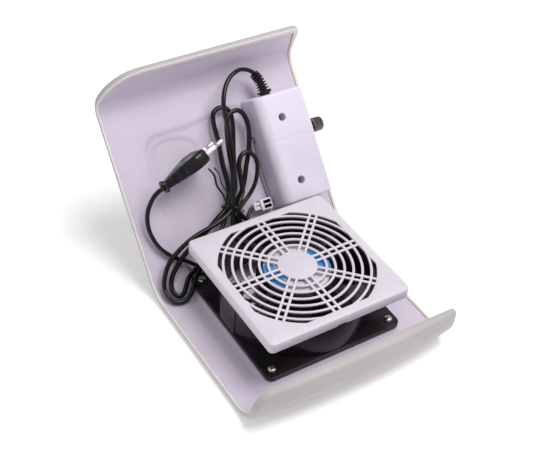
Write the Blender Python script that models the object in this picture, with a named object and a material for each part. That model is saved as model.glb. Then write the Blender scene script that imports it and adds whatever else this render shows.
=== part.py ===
"""Nail dust collector, lying on its outer face with its underside up.

A leather-covered plastic sheet is bent into a front lip, a flat fan panel, a sloping rear panel and
a curled rear edge. A 120 mm axial fan stands on the flat panel under a clip-on exhaust grille. A
control box with a speed knob, and a hank of mains cord, sit on the rear panel.

Frame: +Z up, +Y from the lip towards the rear panel, +X towards the knob. The part is built around
the fan's axis, and the empty "collector" moves it so that the origin is the middle of the base of
the whole object's box.
"""
import math

import bmesh
import bpy
from mathutils import Matrix, Vector

MM = 0.001
GAP = 0.3 * MM                     # air left between neighbouring solids
MERGE = 0.01 * MM                  # points closer than this are one point

# Sheet: half width and the inner face's profile, from the lip's top edge to the curl's top edge
HALF_WIDTH = 89.0 * MM
SHELL_THICKNESS = 5.0 * MM         # liner, air gap and leather together
LINER_THICKNESS = 2.7 * MM
LIP_STRAIGHT = 9.1 * MM
LIP_RADIUS = 22.3 * MM
LIP_CENTRE_Y = -60.6 * MM
FLOOR_LENGTH = 109.6 * MM
FOLD_RADIUS = 25.0 * MM
FOLD_ANGLE = math.radians(49.3)
REAR_LENGTH = 132.7 * MM
CURL_RADIUS = 14.5 * MM
CURL_ANGLE = math.radians(60.3)
CURL_STRAIGHT = 25.4 * MM
LIP_CORNERS = (16.0 * MM, 3.0 * MM)      # left and right corner radius of the unrolled sheet at the lip
CURL_CORNERS = (34.0 * MM, 6.0 * MM)     # and at the curl
EDGE_WALL = 1.3 * MM               # leather beside the liner's rim
FOLD_OVER = 4.5 * MM               # leather turned onto the inner face, from the outside edge
FOLD_OVER_THICKNESS = 0.9 * MM
PAD_THICKNESS = 6.0 * MM           # foam at the middle of the lip
PAD_TOP_SHARE = 0.45               # share of it left at the lip's top edge

# Fan
FAN_SIDE = 120.0 * MM
FAN_DEPTH = 38.0 * MM
FAN_SEAT = 4.0 * MM                # height of the fan over the inner floor
FAN_FLANGE = 4.2 * MM
FAN_BORE = 57.0 * MM
FAN_BARREL = 59.4 * MM
FAN_HOLES = 52.5 * MM
FAN_CORNER = 6.0 * MM
HUB_RADIUS = 31.0 * MM
BLADE_TIP = 55.5 * MM
BLADE_COUNT = 5
INTAKE_RADIUS = 54.0 * MM
GUARD_RADIUS = 57.6 * MM
FAN_BOTTOM = SHELL_THICKNESS + FAN_SEAT
FAN_TOP = FAN_BOTTOM + FAN_DEPTH

# Exhaust grille
GRILLE_HALF = 61.3 * MM
GRILLE_TOP = FAN_TOP + 4.0 * MM
GRILLE_SKIRT = 8.75 * MM
GRILLE_PLATE = 2.0 * MM
GRILLE_WALL = 1.0 * MM
GRILLE_BAR = 2.0 * MM
GRILLE_DISC = 15.3 * MM
GRILLE_RINGS = 6
GRILLE_FIRST_RING = 22.2 * MM
GRILLE_RING_STEP = 6.8 * MM
GRILLE_OPENING = 60.3 * MM
GRILLE_FLAT = 54.0 * MM
SPOKE_OFFSET = 2.65 * MM
SPOKES = 8

# Control box, in the rear panel's own axes: x across, d up the slope, h off the panel
BOX_LEFT = 31.7 * MM
BOX_RIGHT = 78.7 * MM
BOX_FRONT = 33.0 * MM
BOX_REAR = 126.0 * MM
BOX_HEIGHT = 24.0 * MM
BOX_DRAFT = 1.6 * MM
BOX_WALL = 2.0 * MM
BOX_SCREW_X = 52.0 * MM
BOX_SCREWS_D = (51.0 * MM, 104.0 * MM)
CORD_EXIT = (48.0 * MM, 14.0 * MM)         # x, h of the hole in the rear wall
KNOB_D = 89.8 * MM
KNOB_H = 12.0 * MM
KNOB_RADIUS = 6.2 * MM
KNOB_TIP = 91.2 * MM
NUT_RADIUS = 5.8 * MM
SHAFT_RADIUS = 2.4 * MM

CORD_RADIUS = 1.8 * MM
ROUND = 28                          # facets round a large circle
SMALL = 10                          # and round a small one
LIP_COLUMNS = 7                     # points across the sheet where the lip's foam crowns it

COLOURS = {
    "leather": ((0.80, 0.76, 0.74), 0.55, 0.0),
    "foam": ((0.72, 0.70, 0.58), 0.95, 0.0),
    "white_plastic": ((0.72, 0.66, 0.76), 0.45, 0.0),
    "black_plastic": ((0.012, 0.010, 0.013), 0.30, 0.0),
    "black_metal": ((0.015, 0.010, 0.014), 0.35, 0.6),
    "rubber": ((0.012, 0.012, 0.013), 0.50, 0.0),
    "steel": ((0.62, 0.61, 0.60), 0.25, 1.0),
    "laminations": ((0.30, 0.30, 0.31), 0.50, 1.0),
    "copper": ((0.62, 0.28, 0.12), 0.35, 1.0),
    "label": ((0.45, 0.55, 0.68), 0.40, 0.0),
    "board": ((0.55, 0.42, 0.20), 0.60, 0.0),
    "yellow_film": ((0.70, 0.48, 0.08), 0.40, 0.0),
    "aluminium": ((0.60, 0.61, 0.62), 0.35, 1.0),
    "grey_wire": ((0.42, 0.40, 0.43), 0.50, 0.0),
    "fuse_glass": ((0.70, 0.74, 0.74), 0.10, 0.0),
}


# ---------------------------------------------------------------- scene helpers

def clear_scene():
    for existing in list(bpy.data.objects):
        bpy.data.objects.remove(existing, do_unlink=True)


def material(name):
    found = bpy.data.materials.get(name)
    if found:
        return found
    colour, roughness, metallic = COLOURS[name]
    made = bpy.data.materials.new(name)
    made.use_nodes = True
    shader = made.node_tree.nodes["Principled BSDF"]
    shader.inputs["Base Color"].default_value = (*colour, 1.0)
    shader.inputs["Roughness"].default_value = roughness
    shader.inputs["Metallic"].default_value = metallic
    return made


def empty(name, parent=None, location=(0, 0, 0), tilt=0.0):
    made = bpy.data.objects.new(name, None)
    bpy.context.scene.collection.objects.link(made)
    made.parent = parent
    made.location = location
    made.rotation_euler = (tilt, 0, 0)
    return made


def solid(name, bm, slot, parent=None, location=(0, 0, 0), rotation=(0, 0, 0), smooth=None):
    """Turns a bmesh into an object whose faces point out."""
    bmesh.ops.remove_doubles(bm, verts=bm.verts, dist=MERGE)
    bmesh.ops.recalc_face_normals(bm, faces=bm.faces)
    mesh = bpy.data.meshes.new(name)
    bm.to_mesh(mesh)
    bm.free()
    made = bpy.data.objects.new(name, mesh)
    bpy.context.scene.collection.objects.link(made)
    made.data.materials.append(material(slot))
    made.parent = parent
    made.location = location
    made.rotation_euler = rotation
    if smooth:
        mesh.shade_smooth()
        mesh.set_sharp_from_angle(angle=math.radians(smooth))
    return made


def carve(target, tools, operation="DIFFERENCE", solver="EXACT"):
    """Combines the target with each tool in turn, then removes the tools."""
    for tool in tools:
        cut = target.modifiers.new(tool.name, "BOOLEAN")
        cut.operation = operation
        cut.solver = solver
        cut.object = tool
    bpy.context.view_layer.update()
    graph = bpy.context.evaluated_depsgraph_get()
    result = bpy.data.meshes.new_from_object(target.evaluated_get(graph))
    target.modifiers.clear()
    target.data = result
    for tool in tools:
        bpy.data.objects.remove(tool, do_unlink=True)
    return target


def set_smooth(target, angle=35):
    target.data.shade_smooth()
    target.data.set_sharp_from_angle(angle=math.radians(angle))
    return target


# ---------------------------------------------------------------- shape helpers

def box_mesh(low, high, top_inset=0.0):
    """A box between two corners, its top face drawn in on all sides by top_inset."""
    bm = bmesh.new()
    rings = []
    for z, inset in ((low[2], 0.0), (high[2], top_inset)):
        corners = ((low[0] + inset, low[1] + inset), (high[0] - inset, low[1] + inset),
                   (high[0] - inset, high[1] - inset), (low[0] + inset, high[1] - inset))
        rings.append([bm.verts.new((x, y, z)) for x, y in corners])
    bm.faces.new(reversed(rings[0]))
    bm.faces.new(rings[1])
    for i in range(4):
        j = (i + 1) % 4
        bm.faces.new((rings[0][i], rings[0][j], rings[1][j], rings[1][i]))
    return bm


def lathe(profile, facets, start=0.0):
    """Turns a closed (radius, z) outline about Z. Points at radius zero lie on the axis."""
    bm = bmesh.new()
    rings = []
    for radius, z in profile:
        if radius == 0:
            rings.append([bm.verts.new((0, 0, z))])
            continue
        angles = [start + math.tau * k / facets for k in range(facets)]
        rings.append([bm.verts.new((radius * math.cos(a), radius * math.sin(a), z)) for a in angles])
    for ring, following in zip(rings, rings[1:] + rings[:1]):
        if len(ring) == 1 and len(following) == 1:
            continue
        for k in range(facets):
            n = (k + 1) % facets
            corners = [ring[k % len(ring)], ring[n % len(ring)],
                       following[n % len(following)], following[k % len(following)]]
            unique = list(dict.fromkeys(corners))
            bm.faces.new(unique)
    return bm


def disc(radius, low, high, facets):
    return lathe(((0, low), (radius, low), (radius, high), (0, high)), facets)


def washer(inner, outer, low, high, facets):
    return lathe(((inner, low), (outer, low), (outer, high), (inner, high)), facets)


def rounded_square(half, radius, steps=4):
    """Outline of a square with rounded corners, counter-clockwise."""
    outline = []
    for quarter in range(4):
        turn = math.radians(90 * quarter)
        for step in range(steps + 1):
            angle = math.radians(90 * step / steps)
            x = half - radius + radius * math.cos(angle)
            y = half - radius + radius * math.sin(angle)
            outline.append((x * math.cos(turn) - y * math.sin(turn),
                            x * math.sin(turn) + y * math.cos(turn)))
    return outline


def prism(outline, low, high):
    bm = bmesh.new()
    bottom = [bm.verts.new((x, y, low)) for x, y in outline]
    top = [bm.verts.new((x, y, high)) for x, y in outline]
    bm.faces.new(reversed(bottom))
    bm.faces.new(top)
    for i in range(len(outline)):
        j = (i + 1) % len(outline)
        bm.faces.new((bottom[i], bottom[j], top[j], top[i]))
    return bm


def smooth_path(points, steps):
    """Samples a Catmull-Rom curve through the points, so that the path bends softly."""
    path = [Vector(p) for p in points]
    ends = [2 * path[0] - path[1]] + path + [2 * path[-1] - path[-2]]
    samples = []
    for a, b, c, d in zip(ends, ends[1:], ends[2:], ends[3:]):
        for step in range(steps):
            t = step / steps
            samples.append(0.5 * (2 * b + (c - a) * t + (2 * a - 5 * b + 4 * c - d) * t ** 2
                                  + (3 * b - a - 3 * c + d) * t ** 3))
    samples.append(path[-1])
    return samples


def tube(path, radii, sides, bore=None):
    """Sweeps a circle along a path. radii is one radius or one for each point; bore hollows it."""
    if not isinstance(radii, (list, tuple)):
        radii = [radii] * len(path)
    bm = bmesh.new()
    across = Vector((0, 0, 1))
    outer, inner = [], []
    for i, point in enumerate(path):
        ahead = path[min(i + 1, len(path) - 1)] - path[max(i - 1, 0)]
        ahead.normalize()
        across = across - ahead * across.dot(ahead)
        if across.length < 0.001:
            across = ahead.orthogonal()
        across.normalize()
        aside = ahead.cross(across)
        spokes = [across * math.cos(math.tau * k / sides) + aside * math.sin(math.tau * k / sides)
                  for k in range(sides)]
        outer.append([bm.verts.new(point + spoke * radii[i]) for spoke in spokes])
        if bore:
            inner.append([bm.verts.new(point + spoke * bore) for spoke in spokes])

    def skin(rings):
        for ring, following in zip(rings, rings[1:]):
            for k in range(sides):
                n = (k + 1) % sides
                bm.faces.new((ring[k], ring[n], following[n], following[k]))

    skin(outer)
    if bore:
        skin(inner)
        skin([outer[0], inner[0]])
        skin([outer[-1], inner[-1]])
    else:
        bm.faces.new(reversed(outer[0]))
        bm.faces.new(outer[-1])
    return bm


# ---------------------------------------------------------------- the bent sheet

LIP_LENGTH = LIP_STRAIGHT + LIP_RADIUS * math.pi / 2
FOLD_START = LIP_LENGTH + FLOOR_LENGTH
REAR_START = FOLD_START + FOLD_RADIUS * FOLD_ANGLE
CURL_START = REAR_START + REAR_LENGTH
SHEET_LENGTH = CURL_START + CURL_RADIUS * CURL_ANGLE + CURL_STRAIGHT

# length and turn of each stretch of the profile
STRETCHES = ((LIP_STRAIGHT, 0.0), (LIP_RADIUS * math.pi / 2, math.pi / 2), (FLOOR_LENGTH, 0.0),
             (FOLD_RADIUS * FOLD_ANGLE, FOLD_ANGLE), (REAR_LENGTH, 0.0),
             (CURL_RADIUS * CURL_ANGLE, CURL_ANGLE), (CURL_STRAIGHT, 0.0))


def profile_point(s, outward):
    """(y, z) at arc length s along the inner face, moved off it by outward."""
    y = LIP_CENTRE_Y - LIP_RADIUS
    z = SHELL_THICKNESS + LIP_RADIUS + LIP_STRAIGHT
    heading = -math.pi / 2
    for index, (length, turn) in enumerate(STRETCHES):
        last = index == len(STRETCHES) - 1
        part = s if last else min(s, length)
        if turn:
            radius = length / turn
            after = heading + part / radius
            y += radius * (math.sin(after) - math.sin(heading))
            z += radius * (math.cos(heading) - math.cos(after))
            heading = after
        else:
            y += part * math.cos(heading)
            z += part * math.sin(heading)
        s -= part
        if s <= 0:
            break
    return y + outward * math.sin(heading), z - outward * math.cos(heading)


def pad(x, s):
    """Thickness of the foam over the lip: fullest in the middle, nothing on the flat panel."""
    if s >= LIP_LENGTH:
        return 0.0
    across = max(0.0, 1 - abs(x / HALF_WIDTH) ** 2.5)
    if s < LIP_STRAIGHT:
        share = PAD_TOP_SHARE + (1 - PAD_TOP_SHARE) * math.sin(s / LIP_STRAIGHT * math.pi / 2)
    else:
        angle = math.degrees((LIP_LENGTH - s) / LIP_RADIUS)
        t = min(1.0, max(0.0, (angle - 10) / 45))
        share = t * t * (3 - 2 * t)
    return PAD_THICKNESS * across * share


def stations(inset):
    """Arc lengths where the sheet needs a cross line: its bends and its rounded corners."""
    found = [inset, SHEET_LENGTH - inset]
    for step in range(1, 6):
        reach = 1 - math.cos(math.radians(18 * step))
        found += [inset + (corner - inset) * reach for corner in LIP_CORNERS]
        found += [SHEET_LENGTH - inset - (corner - inset) * reach for corner in CURL_CORNERS]
    start = 0.0
    for length, turn in STRETCHES:
        count = max(1, round(math.degrees(turn) / 9))
        found += [start + length * k / count for k in range(count)]
        start += length
    inside = [s for s in found if inset - MERGE <= s <= SHEET_LENGTH - inset + MERGE]
    return sorted(set(round(s / MERGE) * MERGE for s in inside))


def edge_x(s, inset, side):
    """Distance from the middle line to the sheet's edge. side is -1 for the left edge, 1 for the right."""
    reach = HALF_WIDTH - inset
    index = 0 if side < 0 else 1
    for corner, distance in ((LIP_CORNERS[index] - inset, s - inset),
                             (CURL_CORNERS[index] - inset, SHEET_LENGTH - inset - s)):
        if distance < corner:
            reach -= corner - math.sqrt(max(0.0, corner ** 2 - (corner - distance) ** 2))
    return reach


def sheet(inner, outer, inset, padded=0.0, columns=2, span=None):
    """A layer of the sheet between two depths. padded is the share of the foam it bulges by."""
    low, high = span if span else (inset, SHEET_LENGTH - inset)
    lines = [s for s in stations(inset) if low <= s <= high]
    bm = bmesh.new()
    layers = []
    for depth, share in ((inner, 0.0), (outer, padded)):
        rows = []
        for s in lines:
            row = []
            for c in range(columns):
                across = 2 * c / (columns - 1) - 1
                x = across * edge_x(s, inset, across)
                y, z = profile_point(s, depth + share * pad(x, s))
                row.append(bm.verts.new((x, y, z)))
            rows.append(row)
        layers.append(rows)
    for rows in layers:
        for row, following in zip(rows, rows[1:]):
            for c in range(columns - 1):
                bm.faces.new((row[c], row[c + 1], following[c + 1], following[c]))
    inside, outside = layers
    border = [(0, c) for c in range(columns)]
    border += [(r, columns - 1) for r in range(1, len(lines))]
    border += [(len(lines) - 1, c) for c in range(columns - 2, -1, -1)]
    border += [(r, 0) for r in range(len(lines) - 2, 0, -1)]
    for (r, c), (rn, cn) in zip(border, border[1:] + border[:1]):
        bm.faces.new((inside[r][c], inside[rn][cn], outside[rn][cn], outside[r][c]))
    return bm


def build_leather(root):
    """Leather round the outside of the liner, turned over its rim onto the inner face."""
    cover = solid("leather_cover",
                  sheet(-GAP - FOLD_OVER_THICKNESS, SHELL_THICKNESS, 0.0, 1.0, LIP_COLUMNS),
                  "leather", root)
    pocket = solid("pocket", sheet(-GAP, LINER_THICKNESS + GAP, EDGE_WALL, 1.0, LIP_COLUMNS), "leather",
                   root)
    window = solid("window", sheet(-6 * MM, 0.0, FOLD_OVER), "leather", root)
    intake = solid("intake", disc(GUARD_RADIUS + GAP, -5 * MM, 20 * MM, ROUND), "leather", root)
    return set_smooth(carve(cover, [pocket, window, intake], solver="MANIFOLD"))


def build_lip_pad(root):
    """Foam between the liner and the leather at the lip, where it is thick enough to be cut."""
    inset = 22 * MM
    span = (6 * MM, LIP_LENGTH - LIP_RADIUS * math.radians(38))
    inner = LINER_THICKNESS + GAP
    return solid("wrist_pad_foam", sheet(inner, inner + GAP, inset, 0.75, LIP_COLUMNS, span),
                 "foam", root, smooth=35)


def build_liner(root):
    """Plastic sheet with a raised seat for the fan, a recess in the rear panel and screw holes."""
    inset = EDGE_WALL + GAP
    liner = solid("shell_liner", sheet(0.0, LINER_THICKNESS, inset), "white_plastic", root)
    seat_half = FAN_SIDE / 2 + 4 * MM
    seat_rear = FAN_SIDE / 2 - 4 * MM
    seat_top = FAN_BOTTOM - GAP
    seat = solid("seat", box_mesh((-seat_half, -seat_half, SHELL_THICKNESS - 1 * MM),
                                  (seat_half, seat_rear, seat_top), 5 * MM), "white_plastic", root)
    carve(liner, [seat], "UNION")
    holes = [solid("intake", disc(INTAKE_RADIUS, -1 * MM, FAN_BOTTOM + 5 * MM, ROUND), "white_plastic",
                   root),
             solid("guard_recess", disc(GUARD_RADIUS + GAP, -2 * MM, SHELL_THICKNESS + 1 * MM, ROUND),
                   "white_plastic", root)]
    for index, (x, y) in enumerate(fan_corners()):
        holes.append(solid("pilot_%d" % index, disc(2.1 * MM, 3.6 * MM, FAN_BOTTOM + 5 * MM, SMALL),
                           "white_plastic", root, (x, y, 0)))
    return set_smooth(carve(liner, holes))


def cut_panel(liner, panel):
    """Cuts that lie square to the rear panel: the cable recess and the box screws' pilot holes."""
    recess = box_mesh((-62 * MM, 14 * MM, -1.2 * MM), (20 * MM, 120 * MM, 6 * MM))
    edges = [e for e in recess.edges if abs(e.verts[0].co.z - e.verts[1].co.z) > 1 * MM]
    bmesh.ops.bevel(recess, geom=edges, offset=16 * MM, segments=5, affect="EDGES", profile=0.5)
    tools = [solid("recess", recess, "white_plastic", panel)]
    for index, d in enumerate(BOX_SCREWS_D):
        tools.append(solid("box_pilot_%d" % index, disc(1.9 * MM, -2.2 * MM, 3 * MM, SMALL),
                           "white_plastic", panel, (BOX_SCREW_X, d, 0)))
    return set_smooth(carve(liner, tools))


# ---------------------------------------------------------------- fan

def fan_corners():
    return [(sx * FAN_HOLES, sy * FAN_HOLES) for sx, sy in ((-1, -1), (1, -1), (1, 1), (-1, 1))]


def build_fan_housing(root):
    """Square flanges joined by a barrel, with four struts to the motor base and a bearing tube."""
    lower = FAN_BOTTOM + FAN_FLANGE
    upper = FAN_TOP - FAN_FLANGE
    outline = rounded_square(FAN_SIDE / 2, FAN_CORNER)
    frame = solid("fan_housing", prism(outline, FAN_BOTTOM, lower), "black_metal", root)
    parts = [solid("top_flange", prism(outline, upper, FAN_TOP), "black_metal", root),
             solid("barrel", disc(FAN_BARREL, lower - 1 * MM, upper + 1 * MM, ROUND), "black_metal", root),
             solid("side_pad", box_mesh((-59.8 * MM, -9 * MM, lower - 1 * MM),
                                        (-50 * MM, 12 * MM, upper + 1 * MM)), "black_metal", root)]
    carve(frame, parts, "UNION")
    holes = [solid("bore", disc(FAN_BORE, 0, FAN_TOP + 5 * MM, ROUND), "black_metal", root)]
    for index, (x, y) in enumerate(fan_corners()):
        holes.append(solid("hole_%d" % index, disc(2.2 * MM, 0, FAN_TOP + 5 * MM, SMALL),
                           "black_metal", root, (x, y, 0)))
    carve(frame, holes)
    base = solid("motor_base", disc(30 * MM, FAN_TOP - 4.6 * MM, FAN_TOP, ROUND), "black_metal", root)
    tube_part = solid("bearing_tube", washer(4.3 * MM, 5.6 * MM, 20 * MM, FAN_TOP - 4 * MM, SMALL),
                      "black_metal", root)
    struts = []
    for index in range(4):
        strut = box_mesh((26 * MM, -2.6 * MM, FAN_TOP - 4.2 * MM),
                         (FAN_BORE + 1 * MM, 2.6 * MM, FAN_TOP - 0.4 * MM))
        struts.append(solid("strut_%d" % index, strut, "black_metal", root,
                            rotation=(0, 0, math.radians(90 * index + 22))))
    return set_smooth(carve(frame, [base, tube_part] + struts, "UNION"))


def build_motor(root):
    """Stator and bearings, which stay still inside the turning hub."""
    solid("stator_core", washer(5.9 * MM, 24.2 * MM, 22 * MM, 33 * MM, ROUND), "laminations", root,
          smooth=35)
    solid("stator_winding", washer(7 * MM, 22 * MM, 33.3 * MM, 39.5 * MM, ROUND), "copper", root, smooth=35)
    for name, low in (("bearing_lower", 21 * MM), ("bearing_upper", 36.5 * MM)):
        solid(name, washer(2.3 * MM, 4.0 * MM, low, low + 4 * MM, SMALL), "steel", root, smooth=35)
    solid("fan_label", disc(26 * MM, FAN_TOP + GAP, FAN_TOP + 2 * GAP, ROUND), "label", root, smooth=35)


def blade_mesh(turn):
    """One curved blade: pitch falls and sweep grows from the root to the tip."""
    bm = bmesh.new()
    radial, chord = 4, 4
    thickness = 1.6 * MM
    sides = []
    for side in (-0.5, 0.5):
        rows = []
        for i in range(radial + 1):
            share = i / radial
            radius = HUB_RADIUS - 1.0 * MM + (BLADE_TIP - HUB_RADIUS + 1.0 * MM) * share
            sweep = math.radians(14) * share
            spread = math.radians(52 - 10 * share)
            row = []
            for k in range(chord + 1):
                along = k / chord - 0.5
                angle = turn + sweep + spread * along
                camber = 3.0 * MM * (1 - (2 * along) ** 2)
                height = 26.5 * MM + 25 * MM * along + camber + side * thickness
                row.append(bm.verts.new((radius * math.cos(angle), radius * math.sin(angle), height)))
            rows.append(row)
        sides.append(rows)
        for row, following in zip(rows, rows[1:]):
            for k in range(chord):
                bm.faces.new((row[k], row[k + 1], following[k + 1], following[k]))
    border = [(0, k) for k in range(chord)] + [(i, chord) for i in range(radial)]
    border += [(radial, k) for k in range(chord, 0, -1)] + [(i, 0) for i in range(radial, 0, -1)]
    for (i, k), (m, n) in zip(border, border[1:] + border[:1]):
        bm.faces.new((sides[0][i][k], sides[0][m][n], sides[1][m][n], sides[1][i][k]))
    return bm


def build_rotor(axis):
    """Impeller, steel ring and shaft, which spin together about the fan's axis."""
    floor, brim = 12.5 * MM, 40.5 * MM
    wall = 2 * MM
    hub = ((0, floor), (HUB_RADIUS - wall, floor), (HUB_RADIUS, floor + wall), (HUB_RADIUS, brim),
           (HUB_RADIUS - wall, brim), (HUB_RADIUS - wall, floor + wall), (5 * MM, floor + wall),
           (5 * MM, 19.5 * MM), (2.3 * MM, 19.5 * MM), (2.3 * MM, floor + wall), (0, floor + wall))
    impeller = solid("impeller", lathe(hub, ROUND), "black_plastic", axis)
    blades = [solid("blade_%d" % k, blade_mesh(math.tau * k / BLADE_COUNT), "black_plastic", axis)
              for k in range(BLADE_COUNT)]
    set_smooth(carve(impeller, blades, "UNION"))
    solid("rotor_ring", washer(24.8 * MM, HUB_RADIUS - wall - GAP, 20 * MM, 38 * MM, ROUND),
          "laminations", axis, smooth=35)
    solid("rotor_shaft", disc(2.0 * MM, floor + wall + GAP, 41 * MM, SMALL), "steel", axis, smooth=35)


def screw(name, parent, location, length, head_radius=3.2 * MM):
    """Pan head screw with a cross recess. Its origin is the underside of the head."""
    shank = 1.75 * MM
    head = 2.3 * MM
    outline = ((0, -length), (shank * 0.6, -length), (shank, 1.5 * MM - length), (shank, 0),
               (head_radius, 0), (head_radius, head * 0.4), (head_radius * 0.7, head * 0.88), (0, head))
    made = solid(name, lathe(outline, SMALL), "steel", parent, location)
    arms = []
    for index in range(2):
        arm = box_mesh((-1.9 * MM, -0.35 * MM, head - 1.2 * MM), (1.9 * MM, 0.35 * MM, head + 1 * MM))
        arms.append(solid("arm_%d" % index, arm, "steel", parent, location,
                          rotation=(0, 0, math.radians(90 * index + 40))))
    return set_smooth(carve(made, arms))


def build_fan_screws(root):
    for index, (x, y) in enumerate(fan_corners()):
        screw("fan_screw_%d" % (index + 1), root, (x, y, FAN_BOTTOM + FAN_FLANGE + GAP), 9 * MM)


def build_intake_guard(root):
    """Finger guard set flush in the leather's opening, below the impeller."""
    low, high = 0.6 * MM, 2.6 * MM
    rim = lathe(((50 * MM, low), (GUARD_RADIUS - 1 * MM, low), (GUARD_RADIUS, low + 1 * MM),
                 (GUARD_RADIUS, SHELL_THICKNESS), (51.5 * MM, SHELL_THICKNESS), (50 * MM, high)), ROUND)
    guard = solid("intake_guard", rim, "white_plastic", root)
    bars = [solid("hub_disc", disc(11 * MM, low + 0.05 * MM, high - 0.05 * MM, 20), "white_plastic", root)]
    for index in range(4):
        radius = (18 + 8 * index) * MM
        bars.append(solid("ring_%d" % index, washer(radius - 1 * MM, radius + 1 * MM, low + 0.1 * MM,
                                                    high - 0.1 * MM, 20), "white_plastic", root))
    for index in range(6):
        bar = box_mesh((9 * MM, -1.2 * MM, low + 0.2 * MM), (51 * MM, 1.2 * MM, high - 0.2 * MM))
        bars.append(solid("bar_%d" % index, bar, "white_plastic", root,
                          rotation=(0, 0, math.radians(60 * index + 15))))
    return set_smooth(carve(guard, bars, "UNION"))


def build_grille(lift):
    """Square clip-on cover: rings and double spokes inside a plate with a skirt."""
    plate_low = GRILLE_TOP - GRILLE_PLATE
    skirt_low = GRILLE_TOP - GRILLE_SKIRT
    body = solid("grille_cover", prism(rounded_square(GRILLE_HALF, 4 * MM), skirt_low, GRILLE_TOP),
                 "white_plastic", lift)
    edge = body.modifiers.new("edge", "BEVEL")
    edge.width = 0.8 * MM
    edge.segments = 1
    edge.limit_method = "ANGLE"
    edge.angle_limit = math.radians(60)
    inner = GRILLE_HALF - GRILLE_WALL
    cavity = solid("cavity", prism(rounded_square(inner, 3 * MM), skirt_low - 5 * MM, plate_low),
                   "white_plastic", lift)
    square = solid("opening", prism(rounded_square(GRILLE_FLAT, 1 * MM, 1), plate_low - 5 * MM,
                                    GRILLE_TOP + 5 * MM), "white_plastic", lift)
    circle = solid("circle", disc(GRILLE_OPENING, plate_low - 6 * MM, GRILLE_TOP + 6 * MM, ROUND),
                   "white_plastic", lift)
    carve(square, [circle], "INTERSECT")
    notch = solid("notch", box_mesh((-4 * MM, -GRILLE_HALF - 1 * MM, skirt_low - 1 * MM),
                                    (4 * MM, -GRILLE_HALF + 2 * MM, skirt_low + 1 * MM)), "white_plastic",
                                    lift)
    carve(body, [cavity, square, notch])
    low, high = plate_low + 0.2 * MM, GRILLE_TOP - 0.2 * MM
    bars = [solid("centre", disc(GRILLE_DISC, low, high, ROUND), "white_plastic", lift)]
    for index in range(GRILLE_RINGS):
        radius = GRILLE_FIRST_RING + GRILLE_RING_STEP * index
        bars.append(solid("ring_%d" % index, washer(radius - GRILLE_BAR / 2, radius + GRILLE_BAR / 2,
                                                    low, high, 24), "white_plastic", lift))
    for index in range(SPOKES):
        for side in (-1, 1):
            middle = side * SPOKE_OFFSET
            reach = GRILLE_OPENING + 0.8 * MM if index % 2 else GRILLE_FLAT + 1.0 * MM
            bar = box_mesh((14 * MM, middle - GRILLE_BAR / 2, low + 0.1 * MM),
                           (reach, middle + GRILLE_BAR / 2, high + 0.1 * MM))
            bars.append(solid("spoke_%d_%d" % (index, side), bar, "white_plastic", lift,
                              rotation=(0, 0, math.tau * index / SPOKES)))
    return set_smooth(carve(body, bars, "UNION"))


# ---------------------------------------------------------------- control box on the rear panel

def along_x(bm):
    """Turns a shape built about Z so that its axis lies along X."""
    bmesh.ops.rotate(bm, verts=bm.verts, matrix=Matrix.Rotation(math.radians(90), 3, "Y"))
    return bm


def wall_x(h):
    """x of the box's right outer wall at height h."""
    return BOX_RIGHT - BOX_DRAFT * h / BOX_HEIGHT


def build_box_cover(panel):
    shell = box_mesh((BOX_LEFT, BOX_FRONT, GAP), (BOX_RIGHT, BOX_REAR, BOX_HEIGHT), BOX_DRAFT)
    rim = [e for e in shell.edges if max(v.co.z for v in e.verts) > 1 * MM]
    bmesh.ops.bevel(shell, geom=rim, offset=3 * MM, segments=3, affect="EDGES", profile=0.5)
    cover = solid("control_box_cover", shell, "white_plastic", panel)
    inside = box_mesh((BOX_LEFT + BOX_WALL, BOX_FRONT + BOX_WALL, -2 * MM),
                      (BOX_RIGHT - BOX_WALL, BOX_REAR - BOX_WALL, BOX_HEIGHT - BOX_WALL), BOX_DRAFT)
    cavity = solid("cavity", inside, "white_plastic", panel)
    carve(cover, [cavity])
    posts = [solid("post_%d" % i, disc(4.6 * MM, 2 * GAP, BOX_HEIGHT - 1 * MM, SMALL), "white_plastic",
                   panel,
                   (BOX_SCREW_X, d, 0)) for i, d in enumerate(BOX_SCREWS_D)]
    carve(cover, posts, "UNION")
    holes = []
    for i, d in enumerate(BOX_SCREWS_D):
        holes.append(solid("bore_%d" % i, disc(2.1 * MM, -3 * MM, 10 * MM, SMALL), "white_plastic", panel,
                           (BOX_SCREW_X, d, 0)))
        holes.append(solid("well_%d" % i, disc(3.2 * MM, 8 * MM, BOX_HEIGHT + 3 * MM, SMALL),
                           "white_plastic",
                           panel, (BOX_SCREW_X, d, 0)))
    x, h = CORD_EXIT
    holes.append(solid("cord_hole", disc(4.7 * MM, -5 * MM, 5 * MM, SMALL), "white_plastic", panel,
                       (x, BOX_REAR - 1 * MM, h), rotation=(math.radians(90), 0, 0)))
    holes.append(solid("knob_hole", along_x(disc(4.0 * MM, -6 * MM, 6 * MM, SMALL)), "white_plastic", panel,
                       (BOX_RIGHT - 1 * MM, KNOB_D, KNOB_H)))
    slot = box_mesh((BOX_LEFT - 3 * MM, 90 * MM, -1 * MM), (BOX_LEFT + 4 * MM, 95 * MM, 4 * MM))
    holes.append(solid("wire_slot", slot, "white_plastic", panel))
    return set_smooth(carve(cover, holes, solver="MANIFOLD"))


def build_box_screws(panel):
    for index, d in enumerate(BOX_SCREWS_D):
        screw("box_screw_%d" % (index + 1), panel, (BOX_SCREW_X, d, 8 * MM + GAP), 9.8 * MM, 2.8 * MM)


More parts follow.
